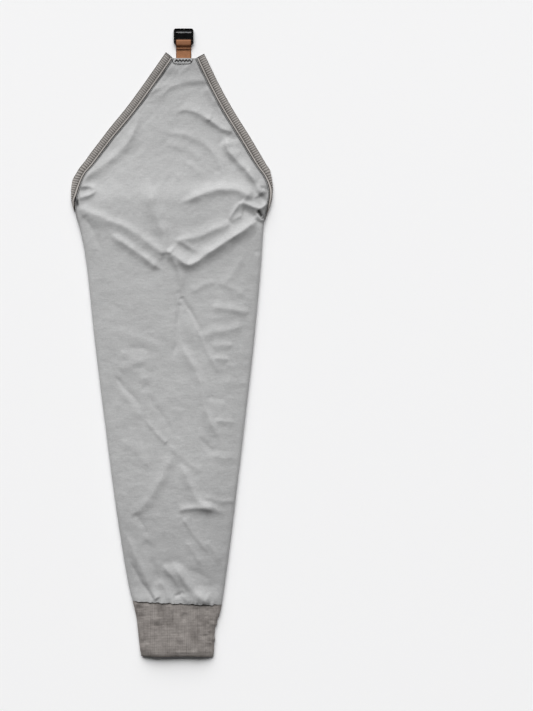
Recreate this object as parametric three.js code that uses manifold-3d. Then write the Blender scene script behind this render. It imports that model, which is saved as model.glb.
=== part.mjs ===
// One arm chap: a loose shoulder-to-wrist sleeve of thin woven cloth, laid flat with its shoulder cap pointing up.
// An elastic band edges the armhole, a knitted cuff closes the wrist, and a webbing loop at the cap's point
// carries a three-bar slide that clips the sleeve to a garment's strap.
// Millimetres, +Z up. The sleeve lies along Y, wrist towards -Y, and rests on the plane Z = 0.
import * as THREE from "three";
import { mergeVertices } from "three/addons/utils/BufferGeometryUtils.js";
import Module from "manifold-3d";

const wasm = await Module();
wasm.setup();

// Sleeve
const SLEEVE_LENGTH = 664; // cuff seam to the hem at the cap's point
const HALF_WIDTH = 123; // middle line to the widest place of the band
const CLOTH = 1; // wall of the woven cloth
const FOLD_EDGE = 4.4; // height of the creased side, where the front turns into the back
const LOFT = 7.6; // how far the front stands above its creased sides at the most
const LOFT_REACH = 46; // how far in from a side the front has risen to its loft
const UNDERARM_DIP = 22; // how far the back's rim hangs below the armhole's corners
const DIP_REACH = 0.34; // share of the closed sleeve over which the cloth's rows straighten out below that rim
const FOLD_HEIGHT = 5; // a full fold
const FOLD_WIDTH = 10; // a full fold's flank
const FOLD_FADE = 7; // a fold has died out this near a side
const FLOOR_GAP = 0.15; // the cap's cloth stays this clear of the surface below

// Armhole band
const BAND_WIDTH = 11.5;
const BAND_THICKNESS = 1.2;
const SEAM_GAP = 0.35; // between two pieces that are sewn edge to edge
const CORNER_GAP = 1.2; // the band stands off this much more where it turns round a corner

// Cuff
const CUFF_LENGTH = 66;
const CUFF_HALF_WIDTH = 43.5; // at the wrist
const CUFF_OFFSET = 7; // the wrist's middle lies this far to the right of the sleeve's
const CUFF_WALL = 1.6; // a doubled knit
const WRIST_EDGE = 5.2; // height of the cuff's side
const WRIST_LOFT = 5; // how far the cuff's front stands above its sides
const CUFF_REACH = 24;

// Strap and slide
const STRAP_WIDTH = 18.6;
const STRAP_THICKNESS = 1.2;
const STRAP_OFFSET = 14.2; // the strap's middle line, to the right of the sleeve's
const STRAP_TAIL = 8; // sewn in under the hem
const STRAP_FREE = 10.6; // single strap between the hem and the end that is turned back
const STRAP_TURNED = 5.9; // doubled strap between its end and the slide
const STITCHED = 3; // the turned end's stretch that is sewn down
const LOOP_CLEARANCE = 0.3;
const LOOP_BEND = 0.5; // the strap's inner bend round the bar's edges
const SLIDE_WIDTH = 24;
const SLIDE_THICKNESS = 3.8;
const SLIDE_CORNER = 2.6;
const SLIDE_BEVEL = 0.5;
const SLIDE_SIDE = 2.4; // the frame's side bars
const OUTER_BAR = 3.2; // bar lengths and slots, along Y
const GARMENT_SLOT = 1.8;
const PLATE = 7.1;
const STRAP_SLOT = 3.1;
const STRAP_BAR = 4.4;
const STRAP_BAR_HEIGHT = 1.7;
const PLATE_DISH = 0.7; // the plate's top lies this far below the frame's

// Where the front turns into the back. "along" is a share of SLEEVE_LENGTH from the cuff seam, and "left" and
// "right" are shares of HALF_WIDTH from the middle line. Above the armhole's corners this is the fold round
// which the band passes to the back.
const SIDES = {
  left: [
    { along: -0.02, out: 0.376 },
    { along: 0.003, out: 0.391 },
    { along: 0.012, out: 0.405 },
    { along: 0.041, out: 0.439 },
    { along: 0.1145, out: 0.506 },
    { along: 0.188, out: 0.566 },
    { along: 0.335, out: 0.669 },
    { along: 0.482, out: 0.767 },
    { along: 0.629, out: 0.854 },
    { along: 0.684, out: 0.911 },
    { along: 0.702, out: 0.941 },
    { along: 0.7152, out: 0.96 },
    { along: 0.73, out: 0.988 },
    { along: 0.742, out: 0.999 },
    { along: 0.757, out: 1 },
    { along: 0.776, out: 0.99 },
    { along: 0.8, out: 0.98 },
    { along: 0.86, out: 0.952 },
    { along: 1.02, out: 0.87 },
  ],
  right: [
    { along: -0.02, out: 0.462 },
    { along: -0.004, out: 0.494 },
    { along: 0.0116, out: 0.508 },
    { along: 0.041, out: 0.53 },
    { along: 0.1145, out: 0.583 },
    { along: 0.188, out: 0.631 },
    { along: 0.335, out: 0.725 },
    { along: 0.482, out: 0.815 },
    { along: 0.629, out: 0.887 },
    { along: 0.6957, out: 0.913 },
    { along: 0.7114, out: 0.938 },
    { along: 0.7298, out: 0.977 },
    { along: 0.745, out: 0.995 },
    { along: 0.76, out: 1 },
    { along: 0.776, out: 0.994 },
    { along: 0.8, out: 0.982 },
    { along: 0.86, out: 0.952 },
    { along: 1.02, out: 0.87 },
  ],
};

// The cloth's edge along the armhole, from each corner up to the hem: where the band is sewn on.
const ARMHOLE_SEAM = [
  { leftAlong: 0.7152, left: -0.96, rightAlong: 0.6957, right: 0.913 },
  { leftAlong: 0.7317, left: -0.953, rightAlong: 0.728, right: 0.948 },
  { leftAlong: 0.751, left: -0.938, rightAlong: 0.756, right: 0.964 },
  { leftAlong: 0.784, left: -0.868, rightAlong: 0.782, right: 0.923 },
  { leftAlong: 0.807, left: -0.756, rightAlong: 0.804, right: 0.83 },
  { leftAlong: 0.8505, left: -0.59, rightAlong: 0.85, right: 0.678 },
  { leftAlong: 0.8976, left: -0.387, rightAlong: 0.9, right: 0.516 },
  { leftAlong: 0.949, left: -0.183, rightAlong: 0.949, right: 0.372 },
  { leftAlong: 1, left: 0.01, rightAlong: 1, right: 0.24 },
];

// How the laid cloth's heights change along the sleeve: the side's as a share of FOLD_EDGE, the loft's of LOFT.
const HEIGHTS = [
  { along: -0.02, edge: 1, loft: 0.64 },
  { along: 0.01, edge: 1, loft: 0.64 },
  { along: 0.08, edge: 1, loft: 0.88 },
  { along: 0.3, edge: 1, loft: 0.92 },
  { along: 0.66, edge: 1, loft: 1 },
  { along: 0.735, edge: 0.98, loft: 0.96 },
  { along: 0.78, edge: 0.5, loft: 0.72 },
  { along: 0.84, edge: 0.34, loft: 0.42 },
  { along: 0.95, edge: 0.36, loft: 0.2 },
  { along: 0.985, edge: 0.58, loft: 0.12 },
  { along: 1.02, edge: 0.6, loft: 0.06 },
];

// The cloth's main folds, each along a path of [across, along] shares of HALF_WIDTH and SLEEVE_LENGTH. "high" is
// a share of FOLD_HEIGHT, and the flanks to the left and the right of the path's way are shares of FOLD_WIDTH.
const FOLDS = [
  // cap
  { path: [[-0.31, 0.89], [-0.45, 0.842], [-0.64, 0.81], [-0.86, 0.783]], high: 0.5, leftFlank: 0.62, rightFlank: 0.8 },
  { path: [[0.16, 0.905], [0.33, 0.892], [0.55, 0.872], [0.64, 0.858]], high: 0.48, leftFlank: 1, rightFlank: 0.5 },
  { path: [[0.6, 0.852], [0.66, 0.822], [0.77, 0.796], [0.85, 0.772]], high: 0.52, leftFlank: 0.7, rightFlank: 0.55 },
  { path: [[0.12, 0.746], [0.31, 0.756], [0.5, 0.761], [0.7, 0.756], [0.84, 0.738]], high: 0.62, leftFlank: 0.9, rightFlank: 0.5 },
  // the V under the armhole
  { path: [[-0.84, 0.722], [-0.56, 0.704], [-0.3, 0.676], [-0.09, 0.645], [-0.03, 0.634]], high: 0.6, leftFlank: 1, rightFlank: 0.5 },
  { path: [[-0.56, 0.664], [-0.4, 0.648], [-0.24, 0.628], [-0.12, 0.614]], high: 0.55, leftFlank: 0.7, rightFlank: 0.55 },
  { path: [[0.84, 0.7], [0.6, 0.678], [0.42, 0.656], [0.3, 0.635], [0.18, 0.623], [0, 0.638]], high: 0.95, leftFlank: 0.62, rightFlank: 1 },
  { path: [[0.11, 0.668], [0.27, 0.674], [0.42, 0.685], [0.6, 0.698]], high: 0.4, leftFlank: 0.8, rightFlank: 0.5 },
  { path: [[0.66, 0.705], [0.72, 0.733], [0.84, 0.727], [0.93, 0.733]], high: 0.5, leftFlank: 0.5, rightFlank: 0.5 },
  // middle
  { path: [[0.01, 0.63], [0.09, 0.608], [0.11, 0.588]], high: 0.36, leftFlank: 0.6, rightFlank: 0.6 },
  { path: [[0.14, 0.468], [0.23, 0.436], [0.3, 0.396], [0.335, 0.352]], high: 0.28, leftFlank: 0.6, rightFlank: 0.5 },
  { path: [[-0.47, 0.4], [-0.34, 0.354], [-0.08, 0.302]], high: 0.24, leftFlank: 0.6, rightFlank: 0.5 },
  { path: [[0.46, 0.545], [0.7, 0.535]], high: 0.3, leftFlank: 0.7, rightFlank: 0.5 },
  // wrist
  { path: [[-0.06, 0.24], [-0.17, 0.206], [-0.3, 0.184]], high: 0.26, leftFlank: 0.7, rightFlank: 0.7 },
  { path: [[0.14, 0.25], [0.25, 0.205], [0.3, 0.182], [0.46, 0.172]], high: 0.42, leftFlank: 0.9, rightFlank: 0.6 },
  { path: [[-0.42, 0.125], [-0.32, 0.085], [-0.22, 0.042], [-0.13, 0.01]], high: 0.5, leftFlank: 0.9, rightFlank: 0.5 },
  { path: [[0.1, 0.06], [0.26, 0.036], [0.42, 0.01]], high: 0.5, leftFlank: 0.8, rightFlank: 0.5 },
  { path: [[-0.04, 0.062], [0.06, 0.03], [0.11, 0.008]], high: 0.34, leftFlank: 0.6, rightFlank: 0.5 },
];

// The cuff's sides, from the wrist (0) up to the seam (1), as shares of CUFF_HALF_WIDTH from the wrist's middle.
const CUFF_SIDES = [
  { along: 0, left: -1.02, right: 1 },
  { along: 0.12, left: -1.055, right: 1.02 },
  { along: 0.5, left: -1.12, right: 1.05 },
  { along: 0.67, left: -1.15, right: 1.105 },
  { along: 0.83, left: -1.2, right: 1.185 },
];

// Rows of the sleeve's mesh: how many, between which shares of the way from the cuff seam to the corners, and on.
const CLOSED_ROWS = [
  { upTo: 0.075, rows: 4 },
  { upTo: 0.8, rows: 16 },
  { upTo: 1, rows: 9 },
];
const CAP_ROWS = 21;
const FRONT_COLUMNS = 23; // between the rounded sides
const BACK_COLUMNS = 16;
const SIDE_STEPS = [0, 0.3, 1]; // places across a rounded side, as shares of its radius
const BAND_COLUMNS = [0, 0.1, 0.22, 0.38, 0.58, 0.8, 1]; // shares of BAND_WIDTH out from the seam
const CUFF_ROWS = 7;
const CUFF_COLUMNS = 12;

const { lerp, smoothstep, clamp } = THREE.MathUtils;

// A smooth curve through one column of a table, over its "along" column, that never overshoots the rows.
function through(table, column) {
  const x = table.map((row) => row.along);
  const y = table.map((row) => row[column]);
  const slope = x.slice(1).map((next, i) => (y[i + 1] - y[i]) / (next - x[i]));
  const tangent = y.map((_, i) => {
    const before = slope[Math.max(i - 1, 0)];
    const after = slope[Math.min(i, slope.length - 1)];
    return before * after <= 0 ? 0 : (2 * before * after) / (before + after);
  });
  return (at) => {
    const i = clamp(x.findLastIndex((start) => start <= at), 0, slope.length - 1);
    const step = x[i + 1] - x[i];
    const t = clamp((at - x[i]) / step, 0, 1);
    const [t2, t3] = [t * t, t * t * t];
    return (
      (2 * t3 - 3 * t2 + 1) * y[i] +
      (t3 - 2 * t2 + t) * step * tangent[i] +
      (3 * t2 - 2 * t3) * y[i + 1] +
      (t3 - t2) * step * tangent[i + 1]
    );
  };
}

const leftOut = through(SIDES.left, "out");
const rightOut = through(SIDES.right, "out");
const edgeShare = through(HEIGHTS, "edge");
const loftShare = through(HEIGHTS, "loft");
const leftSide = (y) => -HALF_WIDTH * leftOut(y / SLEEVE_LENGTH);
const rightSide = (y) => HALF_WIDTH * rightOut(y / SLEEVE_LENGTH);
const edgeHeight = (y) => FOLD_EDGE * edgeShare(y / SLEEVE_LENGTH);
const loftHeight = (y) => LOFT * loftShare(y / SLEEVE_LENGTH);
const CORNER = ARMHOLE_SEAM[0];
const HEM = ARMHOLE_SEAM.at(-1);

// The upper quarter round of a side, 0 at its outermost line and 1 where it has levelled out.
const sideRound = (inset, radius) => Math.sqrt(1 - (1 - clamp(inset / radius, 0, 1)) ** 2);

// A flattened tube's front, at a distance in from its side.
function frontHeight(inset, edge, loft, reach, relief = 0) {
  const rise = 1 - (1 - clamp(inset / reach, 0, 1)) ** 2;
  const top = edge + loft * rise + relief;
  return edge / 2 + (top - edge / 2) * sideRound(inset, edge / 2);
}

const backHeight = (inset, edge) => (edge / 2) * (1 - sideRound(inset, edge / 2));

const foldLines = FOLDS.map((fold) => {
  const points = fold.path.map(([across, along]) => new THREE.Vector2(across * HALF_WIDTH, along * SLEEVE_LENGTH));
  return { ...fold, line: new THREE.SplineCurve(points).getSpacedPoints(5 * points.length) };
});

// The height that one fold adds at a point: an uneven bell across its path, dying out at both ends.
function foldRelief({ line, high, leftFlank, rightFlank }, x, y) {
  let nearest = { far: Infinity };
  for (let i = 1; i < line.length; i++) {
    const [a, b] = [line[i - 1], line[i]];
    const [dx, dy] = [b.x - a.x, b.y - a.y];
    const t = clamp(((x - a.x) * dx + (y - a.y) * dy) / (dx * dx + dy * dy), 0, 1);
    const [ox, oy] = [x - a.x - t * dx, y - a.y - t * dy];
    const far = Math.hypot(ox, oy);
    if (far < nearest.far) nearest = { far, onLeft: dx * oy - dy * ox > 0, at: (i - 1 + t) / (line.length - 1) };
  }
  const flank = FOLD_WIDTH * (nearest.onLeft ? leftFlank : rightFlank);
  const alive = smoothstep(nearest.at, -0.05, 0.3) * smoothstep(1 - nearest.at, -0.05, 0.3);
  return FOLD_HEIGHT * high * alive * Math.exp(-((nearest.far / flank) ** 2));
}

// The outer face of the sleeve's front. "inset" is how far the point lies in from the cloth's own edge.
function sleeveFront(x, y, inset) {
  const toSide = Math.min(x - leftSide(y), rightSide(y) - x);
  const edge = edgeHeight(y);
  const fade = smoothstep(inset, 0, FOLD_FADE) * smoothstep(y, 0, FOLD_FADE) * smoothstep(HEM.leftAlong * SLEEVE_LENGTH - y, 0, FOLD_FADE);
  const relief = foldLines.reduce((sum, fold) => sum + foldRelief(fold, x, y), 0) * fade;
  const rise = 1 - (1 - clamp(inset / LOFT_REACH, 0, 1)) ** 2;
  const top = Math.max(edge + loftHeight(y) * rise + relief, CLOTH + FLOOR_GAP);
  return edge / 2 + (top - edge / 2) * sideRound(toSide, edge / 2);
}

// Places across a row, as distances from its left end, with the rounded sides' steps first and last.
function placesAcross(width, radius, inner) {
  const first = SIDE_STEPS.map((share) => share * radius);
  const middle = Array.from({ length: inner - 1 }, (_, i) => lerp(radius, width - radius, (i + 1) / inner));
  return [...first, ...middle, ...first.map((d) => width - d).reverse()];
}

// A closed body from an outer skin: "rows" of points, each a whole loop or an open strip. Loops come first, and the
// strips continue the loops' first "across" points. The inner skin lies "wall" inside the outer one.
function shell(rows, loops, across, wall) {
  const index = [];
  const outer = rows.flat();
  let next = 0;
  for (const row of rows) {
    index.push(row.map((_, i) => next + i));
    next += row.length;
  }
  const quads = [];
  for (let j = 1; j < rows.length; j++) {
    const closed = j < loops;
    const width = closed ? rows[j].length : across - 1;
    for (let i = 0; i < width; i++) {
      const k = closed ? (i + 1) % rows[j].length : i + 1;
      quads.push([index[j - 1][i], index[j - 1][k], index[j][k], index[j][i]]);
    }
  }
  const normals = outer.map(() => new THREE.Vector3());
  const [e, f] = [new THREE.Vector3(), new THREE.Vector3()];
  for (const [a, b, c, d] of quads) {
    e.subVectors(outer[c], outer[a]);
    f.subVectors(outer[d], outer[b]);
    const normal = e.cross(f);
    for (const v of [a, b, c, d]) normals[v].add(normal);
  }
  const inner = outer.map((p, i) => p.clone().addScaledVector(normals[i].normalize(), -wall));
  const corners = [];
  const quad = (a, b, c, d) => corners.push(a, b, c, a, c, d);
  for (const [a, b, c, d] of quads) {
    quad(outer[a], outer[b], outer[c], outer[d]);
    quad(inner[d], inner[c], inner[b], inner[a]);
  }
  const uses = new Map();
  for (const q of quads)
    for (let i = 0; i < 4; i++) uses.set(`${q[i]} ${q[(i + 1) % 4]}`, [q[i], q[(i + 1) % 4]]);
  for (const [a, b] of uses.values())
    if (!uses.has(`${b} ${a}`)) quad(outer[b], outer[a], inner[a], inner[b]);
  const geometry = new THREE.BufferGeometry().setFromPoints(corners);
  return mergeVertices(geometry, 1e-4);
}

// One row of the sleeve: its front from the left end to the right, and on a closed row the back again.
function sleeveRow(left, right, backShare) {
  const width = left.distanceTo(right);
  const radius = edgeHeight((left.y + right.y) / 2) / 2;
  const front = placesAcross(width, radius, FRONT_COLUMNS).map((d) => {
    const at = left.clone().lerp(right, d / width);
    return new THREE.Vector3(at.x, at.y, sleeveFront(at.x, at.y, Math.min(d, width - d)));
  });
  if (backShare === null) return front;
  const back = placesAcross(width, radius, BACK_COLUMNS).slice(1, -1).reverse();
  return [
    ...front,
    ...back.map((d) => {
      const at = backPoint(left, right, d / width, backShare);
      return new THREE.Vector3(at.x, at.y, backHeight(Math.min(d, width - d), edgeHeight(at.y)));
    }),
  ];
}

// A place on the back between two ends, let down by a share of the dip under the arm.
function backPoint(left, right, share, dipShare) {
  const at = left.clone().lerp(right, share);
  at.y -= dipShare * UNDERARM_DIP * (1 - Math.abs(2 * share - 1) ** 5);
  return at;
}

function sleeve() {
  const shares = [0];
  for (const { upTo, rows } of CLOSED_ROWS) {
    const from = shares.at(-1);
    for (let i = 1; i <= rows; i++) shares.push(lerp(from, upTo, i / rows));
  }
  const seamLeft = SIDES.left[1].along;
  const seamRight = SIDES.right[1].along;
  const closed = shares.map((share) => {
    const leftY = SLEEVE_LENGTH * lerp(seamLeft, CORNER.leftAlong, share);
    const rightY = SLEEVE_LENGTH * lerp(seamRight, CORNER.rightAlong, share);
    const left = new THREE.Vector2(leftSide(leftY), leftY);
    const right = new THREE.Vector2(rightSide(rightY), rightY);
    return sleeveRow(left, right, smoothstep(share, 1 - DIP_REACH, 1));
  });
  const [left, right] = armholeEdges();
  const strips = [];
  for (let i = 1; i <= CAP_ROWS; i++)
    strips.push(sleeveRow(left.getPointAt(i / CAP_ROWS), right.getPointAt(i / CAP_ROWS), null));
  return shell([...closed, ...strips], closed.length, strips[0].length, CLOTH);
}

// The cloth's two edges along the armhole, each from its corner up to the hem.
function armholeEdges() {
  const point = (across, along) => new THREE.Vector2(across * HALF_WIDTH, along * SLEEVE_LENGTH);
  return [
    new THREE.SplineCurve(ARMHOLE_SEAM.map((row) => point(row.left, row.leftAlong))),
    new THREE.SplineCurve(ARMHOLE_SEAM.map((row) => point(row.right, row.rightAlong))),
  ];
}

// The laid sleeve is a flattened tube. Unrolled into a plane, a place on it has a height y and a turn: 0 on the
// left side's fold, from there over the front to 1 on the right side's, and over the back to -1 on the same line.
const foldRadius = (y) => edgeHeight(y) / 2;
const halfGirth = (y) => rightSide(y) - leftSide(y) + (Math.PI - 2) * foldRadius(y);

function turnOf(p) {
  const radius = foldRadius(p.y);
  const fromLeft = p.x - leftSide(p.y);
  const fromRight = rightSide(p.y) - p.x;
  const inset = Math.max(Math.min(fromLeft, fromRight), 0);
  const round = radius * Math.acos(Math.max(1 - inset / radius, 0));
  const share = (round + Math.max(inset - radius, 0)) / halfGirth(p.y);
  return fromLeft < fromRight ? share : 1 - share;
}

// The tube's outer face at a turn between -2 and 1, with its front level between the rounded sides.
function onTube(turn, y) {
  const onBack = turn < 0 && turn > -1;
  const share = turn < -1 ? 2 + turn : Math.abs(turn);
  const radius = foldRadius(y);
  const along = Math.min(share, 1 - share) * halfGirth(y);
  const angle = Math.min(along / radius, Math.PI / 2);
  const inset = radius * (1 - Math.cos(angle)) + Math.max(along - (radius * Math.PI) / 2, 0);
  const x = share < 0.5 ? leftSide(y) + inset : rightSide(y) - inset;
  return new THREE.Vector3(x, y, radius + (onBack ? -1 : 1) * radius * Math.sin(angle));
}

// A point at a distance along a chain of points.
function alongChain(chain, distance) {
  let rest = distance;
  for (let i = 1; i < chain.length; i++) {
    const step = chain[i].distanceTo(chain[i - 1]);
    if (rest <= step || i === chain.length - 1) return chain[i - 1].clone().lerp(chain[i], rest / step);
    rest -= step;
  }
}

// The band is sewn to the cloth's edge all the way round the armhole: from the hem down the cap's left edge, along
// the back's rim and up the cap's right edge.
function armholeBand() {
  const [left, right] = armholeEdges();
  const [from, to] = [left.points[0], right.points[0]];
  const girth = halfGirth(from.y);
  const flat = (turn, y) => new THREE.Vector2(turn * girth, y);
  const back = placesAcross(from.distanceTo(to), foldRadius(from.y), BACK_COLUMNS);
  const seam = [
    ...left.getSpacedPoints(CAP_ROWS).slice(1).reverse().map((p) => flat(turnOf(p), p.y)),
    ...back.map((d) => backPoint(from, to, d / back.at(-1), 1)).map((p) => flat(-turnOf(p), p.y)),
    ...right.getSpacedPoints(CAP_ROWS).slice(1).map((p) => flat(turnOf(p) - 2, p.y)),
  ];
  let passed = 0;
  const rows = seam.map((at, j) => {
    if (j > 0) passed += at.distanceTo(seam[j - 1]);
    const ahead = alongChain(seam, passed + BAND_WIDTH / 2);
    const way = ahead.sub(alongChain(seam, Math.max(passed - BAND_WIDTH / 2, 0))).normalize();
    const fromCorner = Math.min(at.distanceTo(flat(0, from.y)), at.distanceTo(flat(-1, to.y)));
    const gap = SEAM_GAP + CORNER_GAP * Math.exp(-((fromCorner / BAND_WIDTH) ** 2));
    return BAND_COLUMNS.map((share) => {
      const out = gap + BAND_WIDTH * share;
      return onTube((at.x + way.y * out) / girth, at.y - way.x * out);
    });
  });
  return shell(rows, 0, BAND_COLUMNS.length, BAND_THICKNESS);
}

function cuff() {
  const seamLeft = { x: leftSide(SIDES.left[1].along * SLEEVE_LENGTH), y: SIDES.left[1].along * SLEEVE_LENGTH - SEAM_GAP };
  const seamRight = { x: rightSide(SIDES.right[1].along * SLEEVE_LENGTH), y: SIDES.right[1].along * SLEEVE_LENGTH - SEAM_GAP };
  const table = [
    ...CUFF_SIDES.map(({ along, left, right }) => ({
      along,
      left: CUFF_OFFSET + left * CUFF_HALF_WIDTH,
      right: CUFF_OFFSET + right * CUFF_HALF_WIDTH,
    })),
    { along: 1, left: seamLeft.x, right: seamRight.x },
  ];
  const [leftAt, rightAt] = [through(table, "left"), through(table, "right")];
  const rows = [];
  for (let j = 0; j <= CUFF_ROWS; j++) {
    const share = j / CUFF_ROWS;
    const left = new THREE.Vector2(leftAt(share), lerp(-CUFF_LENGTH, seamLeft.y, share));
    const right = new THREE.Vector2(rightAt(share), lerp(-CUFF_LENGTH, seamRight.y, share));
    const edge = lerp(WRIST_EDGE, edgeHeight(0), share);
    const loft = lerp(WRIST_LOFT, loftHeight(0), share);
    const reach = lerp(CUFF_REACH, LOFT_REACH, share ** 3);
    const width = left.distanceTo(right);
    const places = placesAcross(width, edge / 2, CUFF_COLUMNS);
    const point = (d, height) => {
      const at = left.clone().lerp(right, d / width);
      return new THREE.Vector3(at.x, at.y, height);
    };
    rows.push([
      ...places.map((d) => point(d, frontHeight(Math.min(d, width - d), edge, loft, reach))),
      ...places.slice(1, -1).reverse().map((d) => point(d, backHeight(Math.min(d, width - d), edge))),
    ]);
  }
  return shell(rows, rows.length, 0, CUFF_WALL);
}

// Heights and places along Y of the strap and the slide, worked out from the hem upwards.
const hemY = SLEEVE_LENGTH;
const turnedEndY = hemY + STRAP_FREE;
const slideY = turnedEndY + STRAP_TURNED;
const strapSlotY = slideY + STRAP_BAR;
const plateY = strapSlotY + STRAP_SLOT;
const garmentSlotY = plateY + PLATE;
const outerBarY = garmentSlotY + GARMENT_SLOT;
const slideTop = outerBarY + OUTER_BAR;
const barBottom = STRAP_THICKNESS + LOOP_CLEARANCE;
const barTop = barBottom + STRAP_BAR_HEIGHT;

// Turns a shape drawn along Y and up Z, and extruded, so that the extrusion lies along X.
function extrudeAcross(shape, width, steps = 6) {
  const geometry = new THREE.ExtrudeGeometry(shape, { depth: width, bevelEnabled: false, curveSegments: steps });
  const axes = [new THREE.Vector3(0, 1, 0), new THREE.Vector3(0, 0, 1), new THREE.Vector3(1, 0, 0)];
  return geometry.applyMatrix4(new THREE.Matrix4().makeBasis(...axes)).translate(-width / 2, 0, 0);
}

// The strap runs from under the hem, beneath the slide's bar, round it and back on top, where its end is sewn down.
function strap() {
  const topUnder = barTop + LOOP_CLEARANCE;
  const top = topUnder + STRAP_THICKNESS;
  const nearBar = slideY - LOOP_CLEARANCE;
  const farBar = strapSlotY + LOOP_CLEARANCE;
  const sewnFrom = turnedEndY + STITCHED;
  const bend = LOOP_BEND + STRAP_THICKNESS;
  const turnY = farBar - LOOP_BEND;
  const outline = new THREE.Shape();
  outline.moveTo(hemY - STRAP_TAIL, 0);
  outline.lineTo(turnY, 0);
  outline.absarc(turnY, bend, bend, -Math.PI / 2, 0, false);
  outline.absarc(turnY, top - bend, bend, 0, Math.PI / 2, false);
  outline.lineTo(nearBar, top);
  outline.bezierCurveTo(nearBar - bend / 2, top, sewnFrom, 2 * STRAP_THICKNESS, sewnFrom - STITCHED / 2, 2 * STRAP_THICKNESS);
  outline.lineTo(turnedEndY, 2 * STRAP_THICKNESS);
  outline.lineTo(turnedEndY, STRAP_THICKNESS);
  outline.lineTo(hemY - STRAP_TAIL, STRAP_THICKNESS);
  outline.closePath();
  const eye = new THREE.Path();
  eye.moveTo(sewnFrom, STRAP_THICKNESS * 1.1);
  eye.lineTo(nearBar, topUnder);
  eye.lineTo(turnY, topUnder);
  eye.absarc(turnY, topUnder - LOOP_BEND, LOOP_BEND, Math.PI / 2, 0, true);
  eye.absarc(turnY, bend, LOOP_BEND, 0, -Math.PI / 2, true);
  eye.closePath();
  outline.holes.push(eye);
  return extrudeAcross(outline, STRAP_WIDTH).translate(STRAP_OFFSET, 0, 0);
}

function roundedRectangle(target, x0, x1, y0, y1, radius) {
  target.moveTo(x0 + radius, y0);
  target.lineTo(x1 - radius, y0);
  target.absarc(x1 - radius, y0 + radius, radius, -Math.PI / 2, 0, false);
  target.lineTo(x1, y1 - radius);
  target.absarc(x1 - radius, y1 - radius, radius, 0, Math.PI / 2, false);
  target.lineTo(x0 + radius, y1);
  target.absarc(x0 + radius, y1 - radius, radius, Math.PI / 2, Math.PI, false);
  target.lineTo(x0, y0 + radius);
  target.absarc(x0 + radius, y0 + radius, radius, Math.PI, 1.5 * Math.PI, false);
  return target;
}

function solidOf(geometry) {
  const bare = geometry.clone();
  bare.deleteAttribute("normal");
  bare.deleteAttribute("uv");
  const merged = mergeVertices(bare, 1e-4);
  const mesh = { numProp: 3, vertProperties: merged.attributes.position.array, triVerts: merged.index.array };
  return new wasm.Manifold(new wasm.Mesh({ ...mesh, triVerts: Uint32Array.from(mesh.triVerts) }));
}

function geometryOf(solid) {
  const mesh = solid.getMesh();
  const geometry = new THREE.BufferGeometry();
  geometry.setAttribute("position", new THREE.BufferAttribute(mesh.vertProperties, 3));
  return geometry.setIndex(new THREE.BufferAttribute(mesh.triVerts, 1));
}

const block = (width, length, height, x, y, z) =>
  solidOf(new THREE.BoxGeometry(width, length, height).translate(x, y + length / 2, z + height / 2));

// The slide: a rounded frame with a wide plate between two slots, and a thinner bar that the strap goes round.
function slide() {
  const half = SLIDE_WIDTH / 2;
  const inside = half - SLIDE_SIDE;
  const b = SLIDE_BEVEL;
  const outline = roundedRectangle(new THREE.Shape(), -half + b, half - b, slideY + b, slideTop - b, SLIDE_CORNER - b);
  const slot = (from, length) => roundedRectangle(new THREE.Path(), -inside - b, inside + b, from - b, from + length + b, 2 * b);
  outline.holes.push(slot(strapSlotY, STRAP_SLOT), slot(garmentSlotY, GARMENT_SLOT));
  const frame = new THREE.ExtrudeGeometry(outline, {
    depth: SLIDE_THICKNESS - 2 * b,
    bevelThickness: b,
    bevelSize: b,
    bevelSegments: 1,
    curveSegments: 4,
  }).translate(0, 0, b);
  const spare = SLIDE_THICKNESS;
  const underBar = block(2 * inside, STRAP_BAR + 2 * b, barBottom + spare, 0, slideY - b, -spare);
  const overBar = block(2 * inside, STRAP_BAR + 2 * b, spare, 0, slideY - b, barTop);
  const dish = block(2 * inside, PLATE - 2 * b, spare, 0, plateY + b, SLIDE_THICKNESS - PLATE_DISH);
  const cut = solidOf(frame).subtract(underBar).subtract(overBar).subtract(dish);
  return geometryOf(cut).translate(STRAP_OFFSET, 0, 0);
}

const MATERIALS = {
  cloth: { color: 0xc3c4c3, roughness: 0.72, metalness: 0 },
  knit: { color: 0x8d8984, roughness: 0.9, metalness: 0 },
  elastic: { color: 0x959089, roughness: 0.85, metalness: 0 },
  webbing: { color: 0x9a6448, roughness: 0.55, metalness: 0 },
  enamel: { color: 0x0c0c0d, roughness: 0.32, metalness: 0.1 },
};

// The pieces, lifted into the part's frame: the origin is on the surface below, midway between the outermost ends.
const chap = new THREE.Group();
const laid = new THREE.Group();
laid.position.y = -(slideTop - CUFF_LENGTH) / 2;
chap.add(laid);

function piece(name, geometry, finish) {
  const mesh = new THREE.Mesh(geometry, new THREE.MeshStandardMaterial(MATERIALS[finish]));
  mesh.name = name;
  laid.add(mesh);
}

piece("sleeve", sleeve(), "cloth");
piece("armhole_band", armholeBand(), "elastic");
piece("cuff", cuff(), "knit");
piece("strap", strap(), "webbing");
piece("slide_buckle", slide(), "enamel");

export default chap;
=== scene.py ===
"""One arm chap laid flat on a pale table: woven sleeve, armhole band, knitted cuff, webbing and slide."""
import math

import bpy
import numpy as np
from mathutils import Matrix, Vector, noise


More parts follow.
